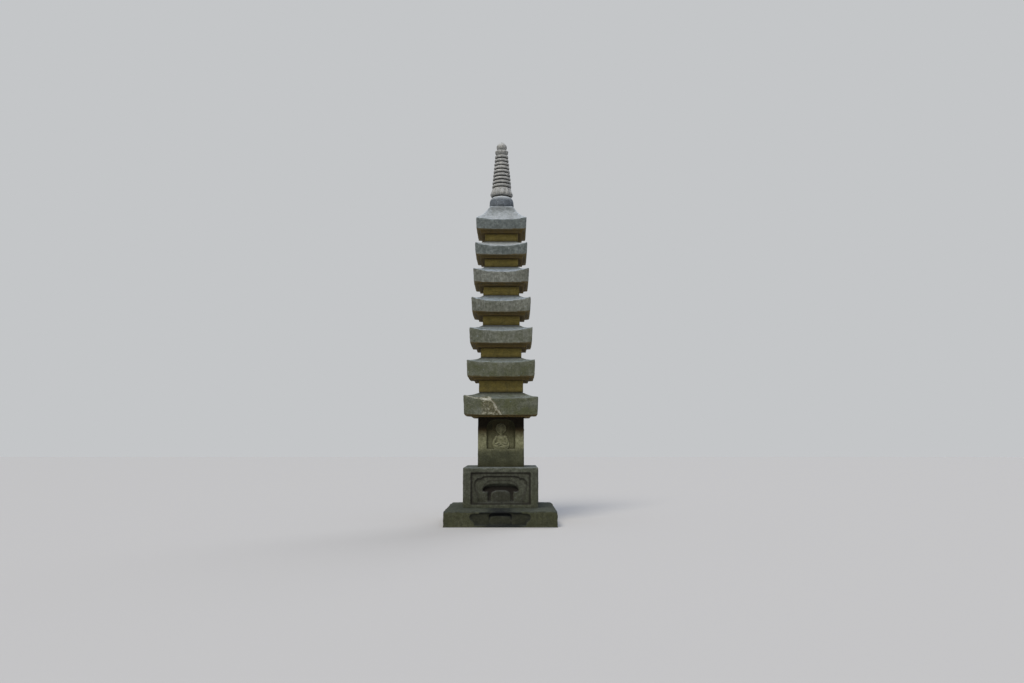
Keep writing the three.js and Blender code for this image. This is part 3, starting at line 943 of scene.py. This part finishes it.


# %% [markdown]
# ## Notes for the finishes
#
# A finish has to know where on the stone it is: worn edges are paler and carry a painted highlight where
# they face up, hollows hold dirt and painted shade, the underside of an eave and the shaft below it stay
# dry, gather ochre dust and are painted dark as the eave's shadow, stones near the ground stay damp and
# lower stones are painted darker as shade, the carving, the grooves and the joints where a shaft meets a
# roof are painted dark with shade and grime, and the broken flake shows fresh stone with a painted
# highlight on its rim. These are kept as numbers on the points of each stone, so the finishes follow the
# shape from every side.

# %% Measure the stones and keep numbers on their points
def note(piece, name, values):
    """Keeps one number for each point, for a material to read."""
    attribute = piece.data.attributes.new(name, "FLOAT", "POINT")
    attribute.data.foreach_set("value", np.asarray(values, dtype=np.float32))


def measured(node):
    """What the notes need to know of a stone: its points, and how they lie to its foot and faces."""
    points, normals, edges = stone_skin(stones[node][0])
    low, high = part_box(node)
    across, reach = np.sort(abs(points[:, :2]), axis=1).T
    above = points[:, 2] - low.z
    return SimpleNamespace(
        node=node, points=points, normals=normals, edges=edges, facing_up=normals[:, 2],
        across=across, reach=reach, depth=high.x - reach, above=above, share=above / (high.z - low.z),
    )


def ramp(values, start, end):
    """0 at the start, 1 at the end, and a soft step between them."""
    t = np.clip((values - start) / (end - start), 0, 1)
    return t * t * (3 - 2 * t)


def note_wear(skin, open_air, dirt_and_shade):
    """Notes worn edges with a painted highlight, only in the open air, and hollows with dirt and painted
    shade, at two sizes.
    """
    piece, voxel = stones[skin.node]
    fine = standing_out(skin.points, skin.normals, skin.edges, 4) / voxel
    broad = standing_out(skin.points, skin.normals, skin.edges, 16) / voxel
    note(piece, "worn_and_highlit", np.clip(spread(fine * 1.5 + broad * 0.45, skin.edges, 1), 0, 1) * open_air)
    note(piece, "hollow", np.clip(spread(-fine * 1.2 - broad * 0.5, skin.edges, 1) * dirt_and_shade, 0, 1))


# %% Find the break and the painted highlight on its rim
# how far the outline of a break wanders, in mm, how many times a metre, and how deep a break can lie
RAGGED, RAGGED_WAVES, DEEPEST = 11, 26, 80


def flake_front(skin):
    """0 off the break, 0.5 on it, and up to 1 where a painted highlight lies on the crack wall and on the
    broken arris.
    """
    x, depth = skin.points[:, 0] / MM, skin.points[:, 1] / MM + LOWEST_WIDTH / 2
    up = skin.above / MM - LOWEST_STEP
    to_crack = crack_line(up) - x
    ragged = np.array([noise.noise(point) for point in skin.points * RAGGED_WAVES]) * RAGGED
    on_break = ramp(x + 2 * ragged, FLAKE_LEFT + 20, FLAKE_LEFT + 80) * ramp(depth, 0, 7)
    on_break *= (to_crack > -12) * (depth < DEEPEST)
    # a painted highlight on the crack wall, which faces up and to the left
    lit_wall = 0.56 * ramp(to_crack + 1.3 * ragged, 44, 18)
    along = np.clip((x - LEDGE[0]) / (LEDGE[1] - LEDGE[0]), 0, 1)
    edge = eave_line(x) - between(LEDGE_DOWN, along)
    inner = between(LEDGE_IN, along)
    ledge = ramp(up + 0.7 * ragged, edge - 7, edge + 5) * ramp(depth + 0.7 * ragged, inner + 6, inner - 6)
    # how bright the painted highlight on the broken arris is along it
    pale = 0.76 + 0.1 * np.sin(13 * along - 2.6) + 0.08 * along + 0.02 * ragged
    return np.maximum(on_break * (0.5 + 0.5 * lit_wall), ledge * (x < LEDGE[1] + 8) * pale)


# %% Judge the roofs and the shafts
# each returns dust with the eave's painted shadow, damp with painted shade, grime with painted shade, and the
# fresh break with its painted highlight, from 0 to 1
# how damp each roof and shaft is, and how much darker it is painted as shade, mostly more lower down
DAMP_AND_SHADE_ROOFS = (1.0, 0.88, 0.5, 0.22, 0.0, 0.2, 0.1)
DAMP_AND_SHADE_SHAFTS = (0.0, 0.62, 0.3, 0.2, 0.1, 0.1, 0.2)
SHADED_TOP = 0.5  # how much painted shade lies round the foot of the finial
# spans in metres, from none to full: round the foot of what a roof carries, and above a shaft's foot
SHADED_SEAT, SHADED_SHAFT_FOOT = (0.085, 0.02), (0.055, 0)
# above the foot of the lowest shaft: the eave's painted shadow, damp, darker at the foot, and the figure's
# top
SHADED_HEAD, DAMP_FOOT, DARKER_FOOT, FIGURE_TOP = (0.37, 0.61), (0.31, 0.2), (0.11, 0), (0.69, 0.66)
# and behind the face of the lowest shaft, for the painted shade on the side and the floor of its niche
NICHE_SIDE, NICHE_FLOOR = (0.008, 0.016), (0.021, 0.029)
FIGURE_HALF = 0.13  # half the width over which the figure catches light


def roof_notes(skin):
    """Dusty and painted with the eave's shadow underneath, painted with shade and grime round the foot of the
    next shaft, broken on the lowest roof.
    """
    index = ROOF_NODES.index(skin.node)
    shaft, _, step, roof, _, _, _ = STOREYS[index]
    is_top = index + 1 == len(STOREYS)
    inward = np.clip((roof / 2 * MM - skin.reach) / ((roof - shaft) / 2 * MM), 0, 1)
    in_step = ramp(skin.above, (step + 12) * MM, (step - 4) * MM)
    shelter_and_shade = np.maximum(in_step, ramp(-skin.facing_up, 0.1, 0.6)) * (0.66 + 0.34 * inward)
    carried = BOWL_FOOT if is_top else STOREYS[index + 1][0] / 2
    grime_and_shade = (SHADED_TOP if is_top else 1) * ramp(skin.reach - carried * MM, *SHADED_SEAT)
    fresh = spread(flake_front(skin), skin.edges, 1) if index == 0 else 0
    return shelter_and_shade, DAMP_AND_SHADE_ROOFS[index], grime_and_shade * ramp(skin.facing_up, 0.1, 0.5), fresh


def first_shaft_notes(skin):
    """Painted dark with the eave's shadow at the head, less on the raised figure, pale in the middle, damp at
    the foot, painted with shade in the niches and darker at the foot.
    """
    in_niche = 0.15 * ramp(skin.depth, *NICHE_SIDE) + 0.6 * ramp(skin.depth, *NICHE_FLOOR)
    raised = (skin.across < FIGURE_HALF) * (1 - in_niche)
    shelter_and_shade = ramp(skin.above, *SHADED_HEAD) * (1 - 0.55 * raised * ramp(skin.above, *FIGURE_TOP))
    grime_and_shade = np.maximum(in_niche, 0.9 * ramp(skin.above, *DARKER_FOOT))
    return shelter_and_shade, ramp(skin.above, *DAMP_FOOT), grime_and_shade, 0


def upper_shaft_notes(skin):
    """Dustier towards the eave above, with the eave's shadow painted dark at the head, and painted with shade
    at the foot where it stands on the roof.
    """
    damp_and_shade = DAMP_AND_SHADE_SHAFTS[SHAFT_NODES.index(skin.node)]
    return 0.35 + 0.65 * skin.share, damp_and_shade, ramp(skin.above, *SHADED_SHAFT_FOOT), 0


# %% Judge the carved stones and the finial
# these place painted shade and shadow in the carving of the base and the plinth
# spans in metres, from none to full: off a carved outline, behind the face, and above the foot
SHADOW_LINE, SHADOW_ARCH = (0.016, 0.006), (0.06, 0.01)
IN_PANEL, IN_RECESS = (0.006, 0.011), (0.03, 0.06)
IN_PLINTH_PANEL, IN_PLINTH_ARCH = (0.006, 0.013), (0.02, 0.034)
DAMP_BASE, OVER_PLINTH_MOUND, PLINTH_FOOT, PLINTH_TOP = (0.5, 0), (0.13, 0.16), (0.065, 0.03), (0.185, 0.21)
# and from the middle of a face of the plinth, for the darkening at its foot and the darker patch in front on
# its top
FOOT_REACH, DARK_FRONT_REACH = (0.42, 0.2), (0.27, 0.08)
BASE_MOUND_HALF, BASE_MOUND_TOP = 0.15, 0.26
# how dark the painted shadow in the recess of the base is at these heights
RECESS_HEIGHTS, RECESS_DARKNESS = (0.09, 0.2, 0.25, 0.28, 0.31, 0.36), (0.4, 0.9, 1, 1, 0.35, 0)


def off_line(places, outline):
    """How far each place (x, z) lies from a closed outline."""
    nearest = np.full(len(places), np.inf)
    for start, end in zip(outline, outline[1:] + outline[:1]):
        start, run = np.array(start), np.array(end) - start
        share = np.clip((places - start) @ run / (run @ run), 0, 1)
        nearest = np.minimum(nearest, np.linalg.norm(places - start - share[:, None] * run, axis=1))
    return nearest


def base_notes(skin):
    """Painted shadow lines round the sunk frame and the panel, painted shade in the panel, and painted shadow
    in the recess, darkest over its mound.
    """
    above = skin.above
    on_face = np.column_stack([skin.across, skin.points[:, 2]])
    off_frame, off_cusps, off_arch = (
        off_line(on_face, line) for line in (frame_line, base_panel[0], base_arch[0])
    )
    cusps = ramp(off_cusps, *SHADOW_LINE) * np.interp(above, (0.3, 0.42), (0.55, 0.85))
    arch = np.maximum(0.6 * ramp(off_arch, *SHADOW_LINE), 0.35 * ramp(off_arch, *SHADOW_ARCH))
    panel = ramp(skin.depth, *IN_PANEL) * (above < FRAME_TOP * MM)
    recess = ramp(skin.depth, *IN_RECESS) * np.interp(above, RECESS_HEIGHTS, RECESS_DARKNESS)
    mound = 0.5 * panel * (skin.across < BASE_MOUND_HALF) * (above < BASE_MOUND_TOP)
    grime_and_shade = np.max([0.9 * ramp(off_frame, *SHADOW_LINE), cusps, arch, recess, 0.25 * panel, mound], axis=0)
    return 0, 0.45 + 0.5 * ramp(above, *DAMP_BASE), grime_and_shade, 0


def plinth_notes(skin):
    """Damp all over, painted with shade in the sunk panels and a black painted shadow over their mounds,
    darker at the foot and on the top in front.
    """
    above = skin.above
    depth = skin.depth * (above < (PLINTH_EDGE - PLINTH_ARRIS) * MM)
    slit = ramp(depth, *IN_PLINTH_ARCH) * ramp(above, *OVER_PLINTH_MOUND)
    panel = 0.6 * ramp(depth, *IN_PLINTH_PANEL)
    places = map(Vector, skin.points)
    ragged = np.array([noise.noise(place * 8) + 0.5 * noise.noise(place * 21) for place in places])
    across = skin.across + 0.09 * ragged
    foot = 0.95 * ramp(above + 0.02 * ragged, *PLINTH_FOOT) * ramp(across, *FOOT_REACH)
    in_front = ramp(across, *DARK_FRONT_REACH) * (skin.points[:, 1] < -PLINTH_SEAT_HALF * MM)
    dark_front = in_front * ramp(above, *PLINTH_TOP) * (0.9 + 0.5 * ragged)
    return 0, 0.85, np.max([panel, slit, foot, dark_front], axis=0), 0


def finial_notes(skin):
    """Painted black with shadow under the petals and in the grooves between the rings."""
    radius, above = np.hypot(skin.points[:, 0], skin.points[:, 1]) / MM, skin.above / MM
    grime_and_shade = 0
    if skin.node == "finial_lotus":
        grime_and_shade = ramp(above, 30, 14)
    elif skin.node == "finial_rings":
        grime_and_shade = 0.8 * ramp(LOWEST_RING - RING_TAPER * (above // RING_PITCH) - radius, 8, 16)
    return 0, 0, grime_and_shade, 0


# %% Write the notes on the stones
# how strongly dirt and painted shade fill the hollows of each stone
HOLLOW_DIRT_AND_SHADE = {"first_storey_shaft": 1.7, "base_block": 1.9, "plinth": 1.4, "finial_lotus": 1.8}
JUDGED_BY = {"plinth": plinth_notes, "base_block": base_notes, "first_storey_shaft": first_shaft_notes}
JUDGED_BY.update(dict.fromkeys(SHAFT_NODES[1:], upper_shaft_notes))
JUDGED_BY.update(dict.fromkeys(ROOF_NODES, roof_notes))

for node, (piece, _) in stones.items():
    skin = measured(node)
    found = JUDGED_BY.get(node, finial_notes)(skin)
    for name, values in zip(("shelter_and_shade", "damp_and_shade", "grime_and_shade", "fresh"), found):
        note(piece, name, np.zeros(len(skin.points)) + values)
    note_wear(skin, 1 - found[0], HOLLOW_DIRT_AND_SHADE.get(node, 1.0))
print("notes on", len(stones), "stones")

# %% [markdown]
# ## Patterns
#
# All the stones are a grey volcanic rock, andesite, dressed with a point and left to the weather.
# Every pattern on them is noise drawn to the size of something real, in millimetres on Object
# coordinates: crystals, crumbs, streaks of rain, patches of lichen, blotches of damp. Lichen spots
# and pits are dots with frayed outlines.

# %% Size the patterns
PATTERNS = {
    # name: width in mm, detail, roughness, how much taller than wide, shift in m
    "grain": (6, 3, 0.8, 1, 0),  # the real crystals are under 2 mm, too fine to show
    "crumbs": (17, 3, 0.6, 1, 1),
    "streaks": (24, 2, 0.55, 16, 7),
    "facets": (34, 4, 0.6, 1, 19),
    "wear": (36, 3, 0.55, 1, 2),
    "patches": (42, 6, 0.7, 1, 11),
    "mottle": (48, 5, 0.65, 1, 0),
    "dusting": (70, 5, 0.55, 1, 5),
    "cushions": (90, 5, 0.55, 1, 17),
    "pitted": (120, 3, 0.55, 1, 13),
    "seep": (170, 4, 0.55, 1, 3),
    "blotches": (320, 3, 0.55, 1, 0),
}
DOTS = {
    # name: spacing in mm, fraying in mm, the pattern that sizes them and its span, largest size
    "spots": (62, 9, "mottle", 0.42, 0.72, 0.3),
    "pits": (21, 4, "pitted", 0.42, 0.7, 0.3),
}
NOTES = ("worn_and_highlit", "hollow", "shelter_and_shade", "damp_and_shade", "grime_and_shade", "fresh")
print(len(PATTERNS), "patterns,", len(DOTS), "kinds of dots")

# %% [markdown]
# ## Layers
#
# What the eye takes for old stone is a pile of thin coats. They are laid in the order in which they
# come in life, each with a colour, a strength and the masks that say where it lies; some of them are
# painted light and shade: the eave's shadow, shade in hollows and carving, skylight on what faces up,
# and highlights on edges and on the break. A mask is a pattern or a note, the span over which it
# changes, and how thick the coat is at each end.

# %% List the layers
FACING_UP = ("up", 0.15, 0.7, 0, 1)
WASHED_AND_LIT = ("up", 0.2, 0.65, 0.08, 1)
# crust and worn edges are dimmer where damp and painted shade lie
IN_THE_DRY_AND_LIGHT = ("damp_and_shade", 0, 1, 1, 0.2)
LAYERS = (
    ("pale", 1, ("mottle", 0.36, 0.64, 0, 1)),
    ("blotch", "blotches", ("blotches", 0.42, 0.66, 0, 1)),
    # an olive film of algae, with painted shade, where damp lies
    ("algae_and_shade", "algae_and_shade_film", ("damp_and_shade", 0, 1, 0, 1), ("seep", 0.3, 0.62, "thin_film", 1)),
    ("streak", "streaks", ("streaks", 0.5, 0.75, 0, 1)),
    # ochre dust, and under the eaves the eave's painted shadow, darkest next to the shaft
    ("dust_and_shade", 1, ("shelter_and_shade", 0, 0.9, 0, 1), ("dusting", 0.33, 0.6, "thin_dust", 1.15)),
    ("eave_shade", "eave_shaded", ("shelter_and_shade", 0.75, 1, 0, 1)),
    # dirt and painted shade in the hollows
    ("dirt_and_shade", "dirty_shaded_hollows", ("hollow", 0, 1, 0, 1)),
    # lichen crust with painted skylight on what faces up
    ("crust_and_skylight", "crust_and_skylight_on_top", FACING_UP, ("patches", 0.34, 0.6, 0.55, 1), IN_THE_DRY_AND_LIGHT),
    ("moss", "moss_on_top", FACING_UP, ("cushions", 0.5, 0.66, 0, 1)),
    ("crust_and_skylight", "crust_spots", ("spots", 0, 1, 0, 1), ("shelter_and_shade", 0, 0.5, 1, 0)),
    # worn edges, with a painted highlight where they face up
    ("worn_and_highlit", "worn_highlit_edges", ("worn_and_highlit", 0, 1, 0, 1), ("wear", 0.35, 0.6, 0.45, 1), WASHED_AND_LIT, IN_THE_DRY_AND_LIGHT),
    # painted shade and grime in the carving, the grooves and the joints
    ("dirt_and_shade", "grimy_and_shaded", ("grime_and_shade", 0, 1, 0, 1)),
    ("fresh", 0.55, ("fresh", 0, 0.5, 0, 1)),
    # painted shadows on the facets of the break
    ("dirt_and_shade", 0.5, ("fresh", 0.1, 0.5, 0, 1), ("facets", 0.48, 0.38, 0, 1)),
    # painted glints on the facets of the break
    ("fresh_rim_and_glint", 0.36, ("fresh", 0.1, 0.5, 0, 1), ("facets", 0.54, 0.62, 0, 1)),
    # a painted highlight on the crack wall and the broken arris
    ("fresh_rim_and_glint", 0.85, ("fresh", 0.6, 0.95, 0, 1), ("crumbs", 0.3, 0.55, 0.5, 1)),
    ("dirt_and_shade", "pits", ("pits", 0, 1, 0, 1)),
)
print(len(LAYERS), "layers")

# %% [markdown]
# ## Mixing the stone
#
# One recipe makes all the finishes. It first finds the notes, the patterns and the dots, then lays
# the coats one over another, and last lets the grain and the crumbs darken, roughen and raise the
# surface, because a rough stone shows its grain as small shadows.

# %% Mix the weathered stone
SPAN = ("From Min", "From Max", "To Min", "To Max")
# pattern, the span over which it changes, and how dark and how pale it makes the stone
SPECKLES = (("grain", 0.32, 0.68, 0.7, 1.3), ("crumbs", 0.3, 0.7, 0.82, 1.18))
ROUGHNESS_SPAN = (0.3, 0.7, 0.98, 0.88)
GRAIN_HEIGHT, PIT_HEIGHT = 0.5, -0.6  # against that of the crumbs


def weathered_stone(name, look):
    """One finish of weathered andesite; look holds its colours and the strength of each layer."""
    material = bpy.data.materials.new(name)
    material.use_nodes = True
    tree = material.node_tree
    place = add_node(tree, "ShaderNodeTexCoord").outputs["Object"]
    facing = add_node(tree, "ShaderNodeNewGeometry").outputs["Normal"]
    found = {"up": add_node(tree, "ShaderNodeSeparateXYZ", links={0: facing}).outputs["Z"]}
    for kept in NOTES:
        found[kept] = add_node(tree, "ShaderNodeAttribute", {"attribute_name": kept}).outputs["Fac"]
    for pattern, (width, detail, roughness, taller, shift) in PATTERNS.items():
        drawn = {"Scale": (1, 1, 1 / taller), "Location": (shift, shift, shift)}
        moved = add_node(tree, "ShaderNodeMapping", drawn, {"Vector": place}).outputs[0]
        sized = {"Scale": 1 / (width * MM), "Detail": detail, "Roughness": roughness}
        found[pattern] = add_node(tree, "ShaderNodeTexNoise", sized, {"Vector": moved}).outputs["Fac"]
    for dots, (spacing, frayed, pattern, low, high, largest) in DOTS.items():
        fraying = {"Scale": 3 / (spacing * MM), "Detail": 3}
        wavy = add_node(tree, "ShaderNodeTexNoise", fraying, {"Vector": place})
        push = {"operation": "MULTIPLY_ADD", 1: (2 * frayed * MM,) * 3}
        pushed = add_node(tree, "ShaderNodeVectorMath", push, {0: wavy.outputs["Color"], 2: place})
        spaced = {"Scale": 1 / (spacing * MM)}
        cells = add_node(tree, "ShaderNodeTexVoronoi", spaced, {"Vector": pushed.outputs[0]})
        span = dict(zip(SPAN, (low, high, 0, largest)))
        size = add_node(tree, "ShaderNodeMapRange", span, {"Value": found[pattern]}).outputs[0]
        inside = {0: cells.outputs["Distance"], 1: size}
        found[dots] = add_node(tree, "ShaderNodeMath", {"operation": "LESS_THAN"}, inside).outputs[0]

    colour = add_node(tree, "ShaderNodeRGB").outputs[0]
    colour.default_value = linear(look["dark"])
    for coat, strength, *masks in LAYERS:
        thick = add_node(tree, "ShaderNodeValue").outputs[0]
        thick.default_value = look.get(strength, strength)
        for source, start, end, at_start, at_end in masks:
            span = dict(zip(SPAN, (start, end, look.get(at_start, at_start), at_end)))
            mask = add_node(tree, "ShaderNodeMapRange", span, {"Value": found[source]}).outputs[0]
            times = {"operation": "MULTIPLY"}
            thick = add_node(tree, "ShaderNodeMath", times, {0: mask, 1: thick}).outputs[0]
        laid = {"data_type": "RGBA", 7: linear(look[coat])}
        colour = add_node(tree, "ShaderNodeMix", laid, {0: thick, 6: colour}).outputs[2]

    shader = tree.nodes["Principled BSDF"]
    for source, *limits in SPECKLES:
        span = dict(zip(SPAN, limits))
        shade = add_node(tree, "ShaderNodeMapRange", span, {"Value": found[source]}).outputs[0]
        shaded = {0: colour, "Scale": shade}
        colour = add_node(tree, "ShaderNodeVectorMath", {"operation": "SCALE"}, shaded).outputs[0]
    span = dict(zip(SPAN, ROUGHNESS_SPAN))
    rough = add_node(tree, "ShaderNodeMapRange", span, {"Value": found["grain"]}).outputs[0]
    raised = {"operation": "MULTIPLY_ADD", 1: GRAIN_HEIGHT}
    relief = add_node(tree, "ShaderNodeMath", raised, {0: found["grain"], 2: found["crumbs"]}).outputs[0]
    sunk = {"operation": "MULTIPLY_ADD", 1: PIT_HEIGHT}
    relief = add_node(tree, "ShaderNodeMath", sunk, {0: found["pits"], 2: relief}).outputs[0]
    bump = add_node(tree, "ShaderNodeBump", {"Strength": 0.85, "Distance": 0.006}, {"Height": relief})
    shader.inputs["Specular IOR Level"].default_value = 0.25
    for socket, source in (("Base Color", colour), ("Roughness", rough), ("Normal", bump.outputs[0])):
        tree.links.new(source, shader.inputs[socket])
    return material


# %% [markdown]
# ## The colours of each group of stones
#
# The rock is the same in all the stones. What changes is how wet they stay, how much light and rain
# they get, which is partly painted into their colours, and what has settled on them, from the mossy
# plinth to the rings painted as sunlit.

# %% Choose the colours
FINISHES = {}

# Rained-on roofs: a cool grey fascia mottled with lichen, a pale blue rim that is rain-washed arris
# with painted skylight and a painted highlight, and a warm brown underside that the rain never
# reaches, with the eave's painted shadow near the shaft.
ROOF_LOOK = {
    "pale": "#8b8e87", "dark": "#60635b", "blotch": "#55574e", "blotches": 0.5,
    "algae_and_shade": "#4b4f31", "algae_and_shade_film": 0.85, "thin_film": 0.35, "streak": "#41433c", "streaks": 0.4,
    "dust_and_shade": "#6b5b33", "thin_dust": 0.85, "eave_shade": "#352a14", "eave_shaded": 0.55,
    "dirt_and_shade": "#2a2b25", "grimy_and_shaded": 0.62, "dirty_shaded_hollows": 0.7,
    "crust_and_skylight": "#8b98a4", "crust_and_skylight_on_top": 0.85, "crust_spots": 0.3, "moss": "#464b36", "moss_on_top": 0.4,
    "worn_and_highlit": "#dbe6ee", "worn_highlit_edges": 0.95, "fresh": "#706c54", "fresh_rim_and_glint": "#cbcabc", "pits": 0.6,
}
FINISHES["roofs"] = weathered_stone("dressed_andesite_with_grey_lichen", ROOF_LOOK)

# High roofs: bluer and drier, with a thin, pale crust on top that is lichen and painted sunlight, and
# hardly any moss, so they read as a cold, even grey.
HIGH_ROOF_LOOK = dict(
    ROOF_LOOK, pale="#7f8787", dark="#575e5e", blotch="#4c5353", streak="#3d4343", crust_and_skylight="#b2b7b9",
    moss_on_top=0.25,
)
FINISHES["high roofs"] = weathered_stone("dressed_andesite_with_blue_lichen_and_painted_sun", HIGH_ROOF_LOOK)

# Lowest shaft: painted nearly black at the head with dark dust and the eave's painted shadow, a pale
# olive at half height, and dark again with algae and painted shade at the foot.
FIRST_SHAFT_LOOK = dict(
    ROOF_LOOK, pale="#8c8d70", dark="#6b6c52", blotch="#606047", algae_and_shade="#383b2d", algae_and_shade_film=0.95,
    thin_film=0.75, dust_and_shade="#3c321c", eave_shade="#110c05", eave_shaded=0.9, dirt_and_shade="#33321f", grimy_and_shaded=0.65,
    worn_and_highlit="#97977f", worn_highlit_edges=0.4, crust_and_skylight="#8b8d80", crust_and_skylight_on_top=0.3, crust_spots=0.12, streaks=0.25,
)
FINISHES["first shaft"] = weathered_stone("dressed_andesite_with_painted_eave_shadow", FIRST_SHAFT_LOOK)

# Upper shafts: dry under the eaves, so a film of ochre dust gives them a warm, almost earthen
# colour, browner at the head with the eave's painted shadow, and painted darker with shade at the foot.
UPPER_SHAFT_LOOK = dict(
    FIRST_SHAFT_LOOK, pale="#a09359", dark="#695f35", blotch="#5c522c", algae_and_shade="#57563d", algae_and_shade_film=0.8,
    thin_film=0.35, dust_and_shade="#958649", thin_dust=0.45, eave_shade="#3a2f16", eave_shaded=0.62, dirt_and_shade="#38341f",
    worn_and_highlit="#8f8558", streaks=0.4,
)
FINISHES["upper shafts"] = weathered_stone("dressed_andesite_with_ochre_dust", UPPER_SHAFT_LOOK)

# Base block: damp and dull, greener towards the ground, with dark brown painted shadow drawing the
# lines of its carving, and a paler top edge that is rained-on wear with a painted highlight.
BASE_LOOK = dict(
    ROOF_LOOK, pale="#676a5f", dark="#45473e", blotch="#3a3c34", algae_and_shade="#464a35", algae_and_shade_film=0.6,
    streak="#33352e", dirt_and_shade="#1c1915", grimy_and_shaded=1.0, crust_and_skylight="#72797b", crust_and_skylight_on_top=0.65, crust_spots=0.25,
    worn_and_highlit="#8f9694", worn_highlit_edges=0.6, moss="#3c412f",
)
FINISHES["base"] = weathered_stone("carved_andesite_with_algae", BASE_LOOK)

# Plinth: the wettest stone. A dark blue-grey top, mossy yellow-green sides and a panel painted almost
# black with shadow make it sink back behind the rest.
PLINTH_LOOK = dict(
    BASE_LOOK, pale="#5a5b49", dark="#393a2b", blotch="#303227", algae_and_shade="#3e412b", algae_and_shade_film=0.7,
    dirt_and_shade="#0f1215", grimy_and_shaded=0.85, crust_and_skylight="#323c47", crust_and_skylight_on_top=0.9, crust_spots=0.12,
    worn_and_highlit="#586062", worn_highlit_edges=0.2,
)
FINISHES["plinth"] = weathered_stone("carved_andesite_wet_with_moss", PLINTH_LOOK)

# Finial: high in the rain, a warm pale grey painted as sunlit, with painted shadow in every groove.
FINIAL_LOOK = dict(
    ROOF_LOOK, pale="#bcbcb8", dark="#8f9190", blotch="#80827f", streak="#646663", crust_and_skylight="#babcbb",
    worn_and_highlit="#cfccc2", worn_highlit_edges=0.6, dirt_and_shade="#2d2f2f", grimy_and_shaded=0.9,
)
FINISHES["finial"] = weathered_stone("turned_andesite_painted_sunlit", FINIAL_LOOK)

# Bowl: the same stone painted darker and bluer as shade, with a painted highlight on its top, which sets it
# off from the pale petals above.
BOWL_LOOK = dict(
    ROOF_LOOK, pale="#7b8289", dark="#5e656c", blotch="#555c62", streak="#4a5054", crust_and_skylight="#cdd4d8",
    worn_and_highlit="#b4babe",
)
FINISHES["bowl"] = weathered_stone("turned_andesite_painted_shade", BOWL_LOOK)
print(len(FINISHES), "finishes")

# %% [markdown]
# ## Put the stones on the tower
#
# Each finished stone takes the place of its measured one and rests with the rest of the tower.

# %% Hand the stones over
FINISH_OF = {node: ("roofs", "roof_stone") for node in ROOF_NODES[:5]}
FINISH_OF.update({node: ("high roofs", "roof_stone") for node in ROOF_NODES[5:]})
FINISH_OF.update({node: ("upper shafts", "shaft_stone") for node in SHAFT_NODES})
FINISH_OF.update({node: ("finial", "finial_stone") for node in stones if "finial" in node})
FINISH_OF["first_storey_shaft"] = "first shaft", "shaft_stone"
FINISH_OF["finial_bowl"] = "bowl", "finial_stone"
FINISH_OF["base_block"] = "base", "base_stone"
FINISH_OF["plinth"] = "plinth", "base_stone"
for node, (piece, _) in stones.items():
    finish, slot = FINISH_OF[node]
    piece.data.materials.clear()
    piece.data.materials.append(FINISHES[finish])
    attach(piece, "root")
    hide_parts(node)
bench()

# %% Measure the dressed model
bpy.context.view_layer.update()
faces = [face for piece, _ in stones.values() for face in piece.data.polygons]
print("triangles", sum(len(face.vertices) - 2 for face in faces))
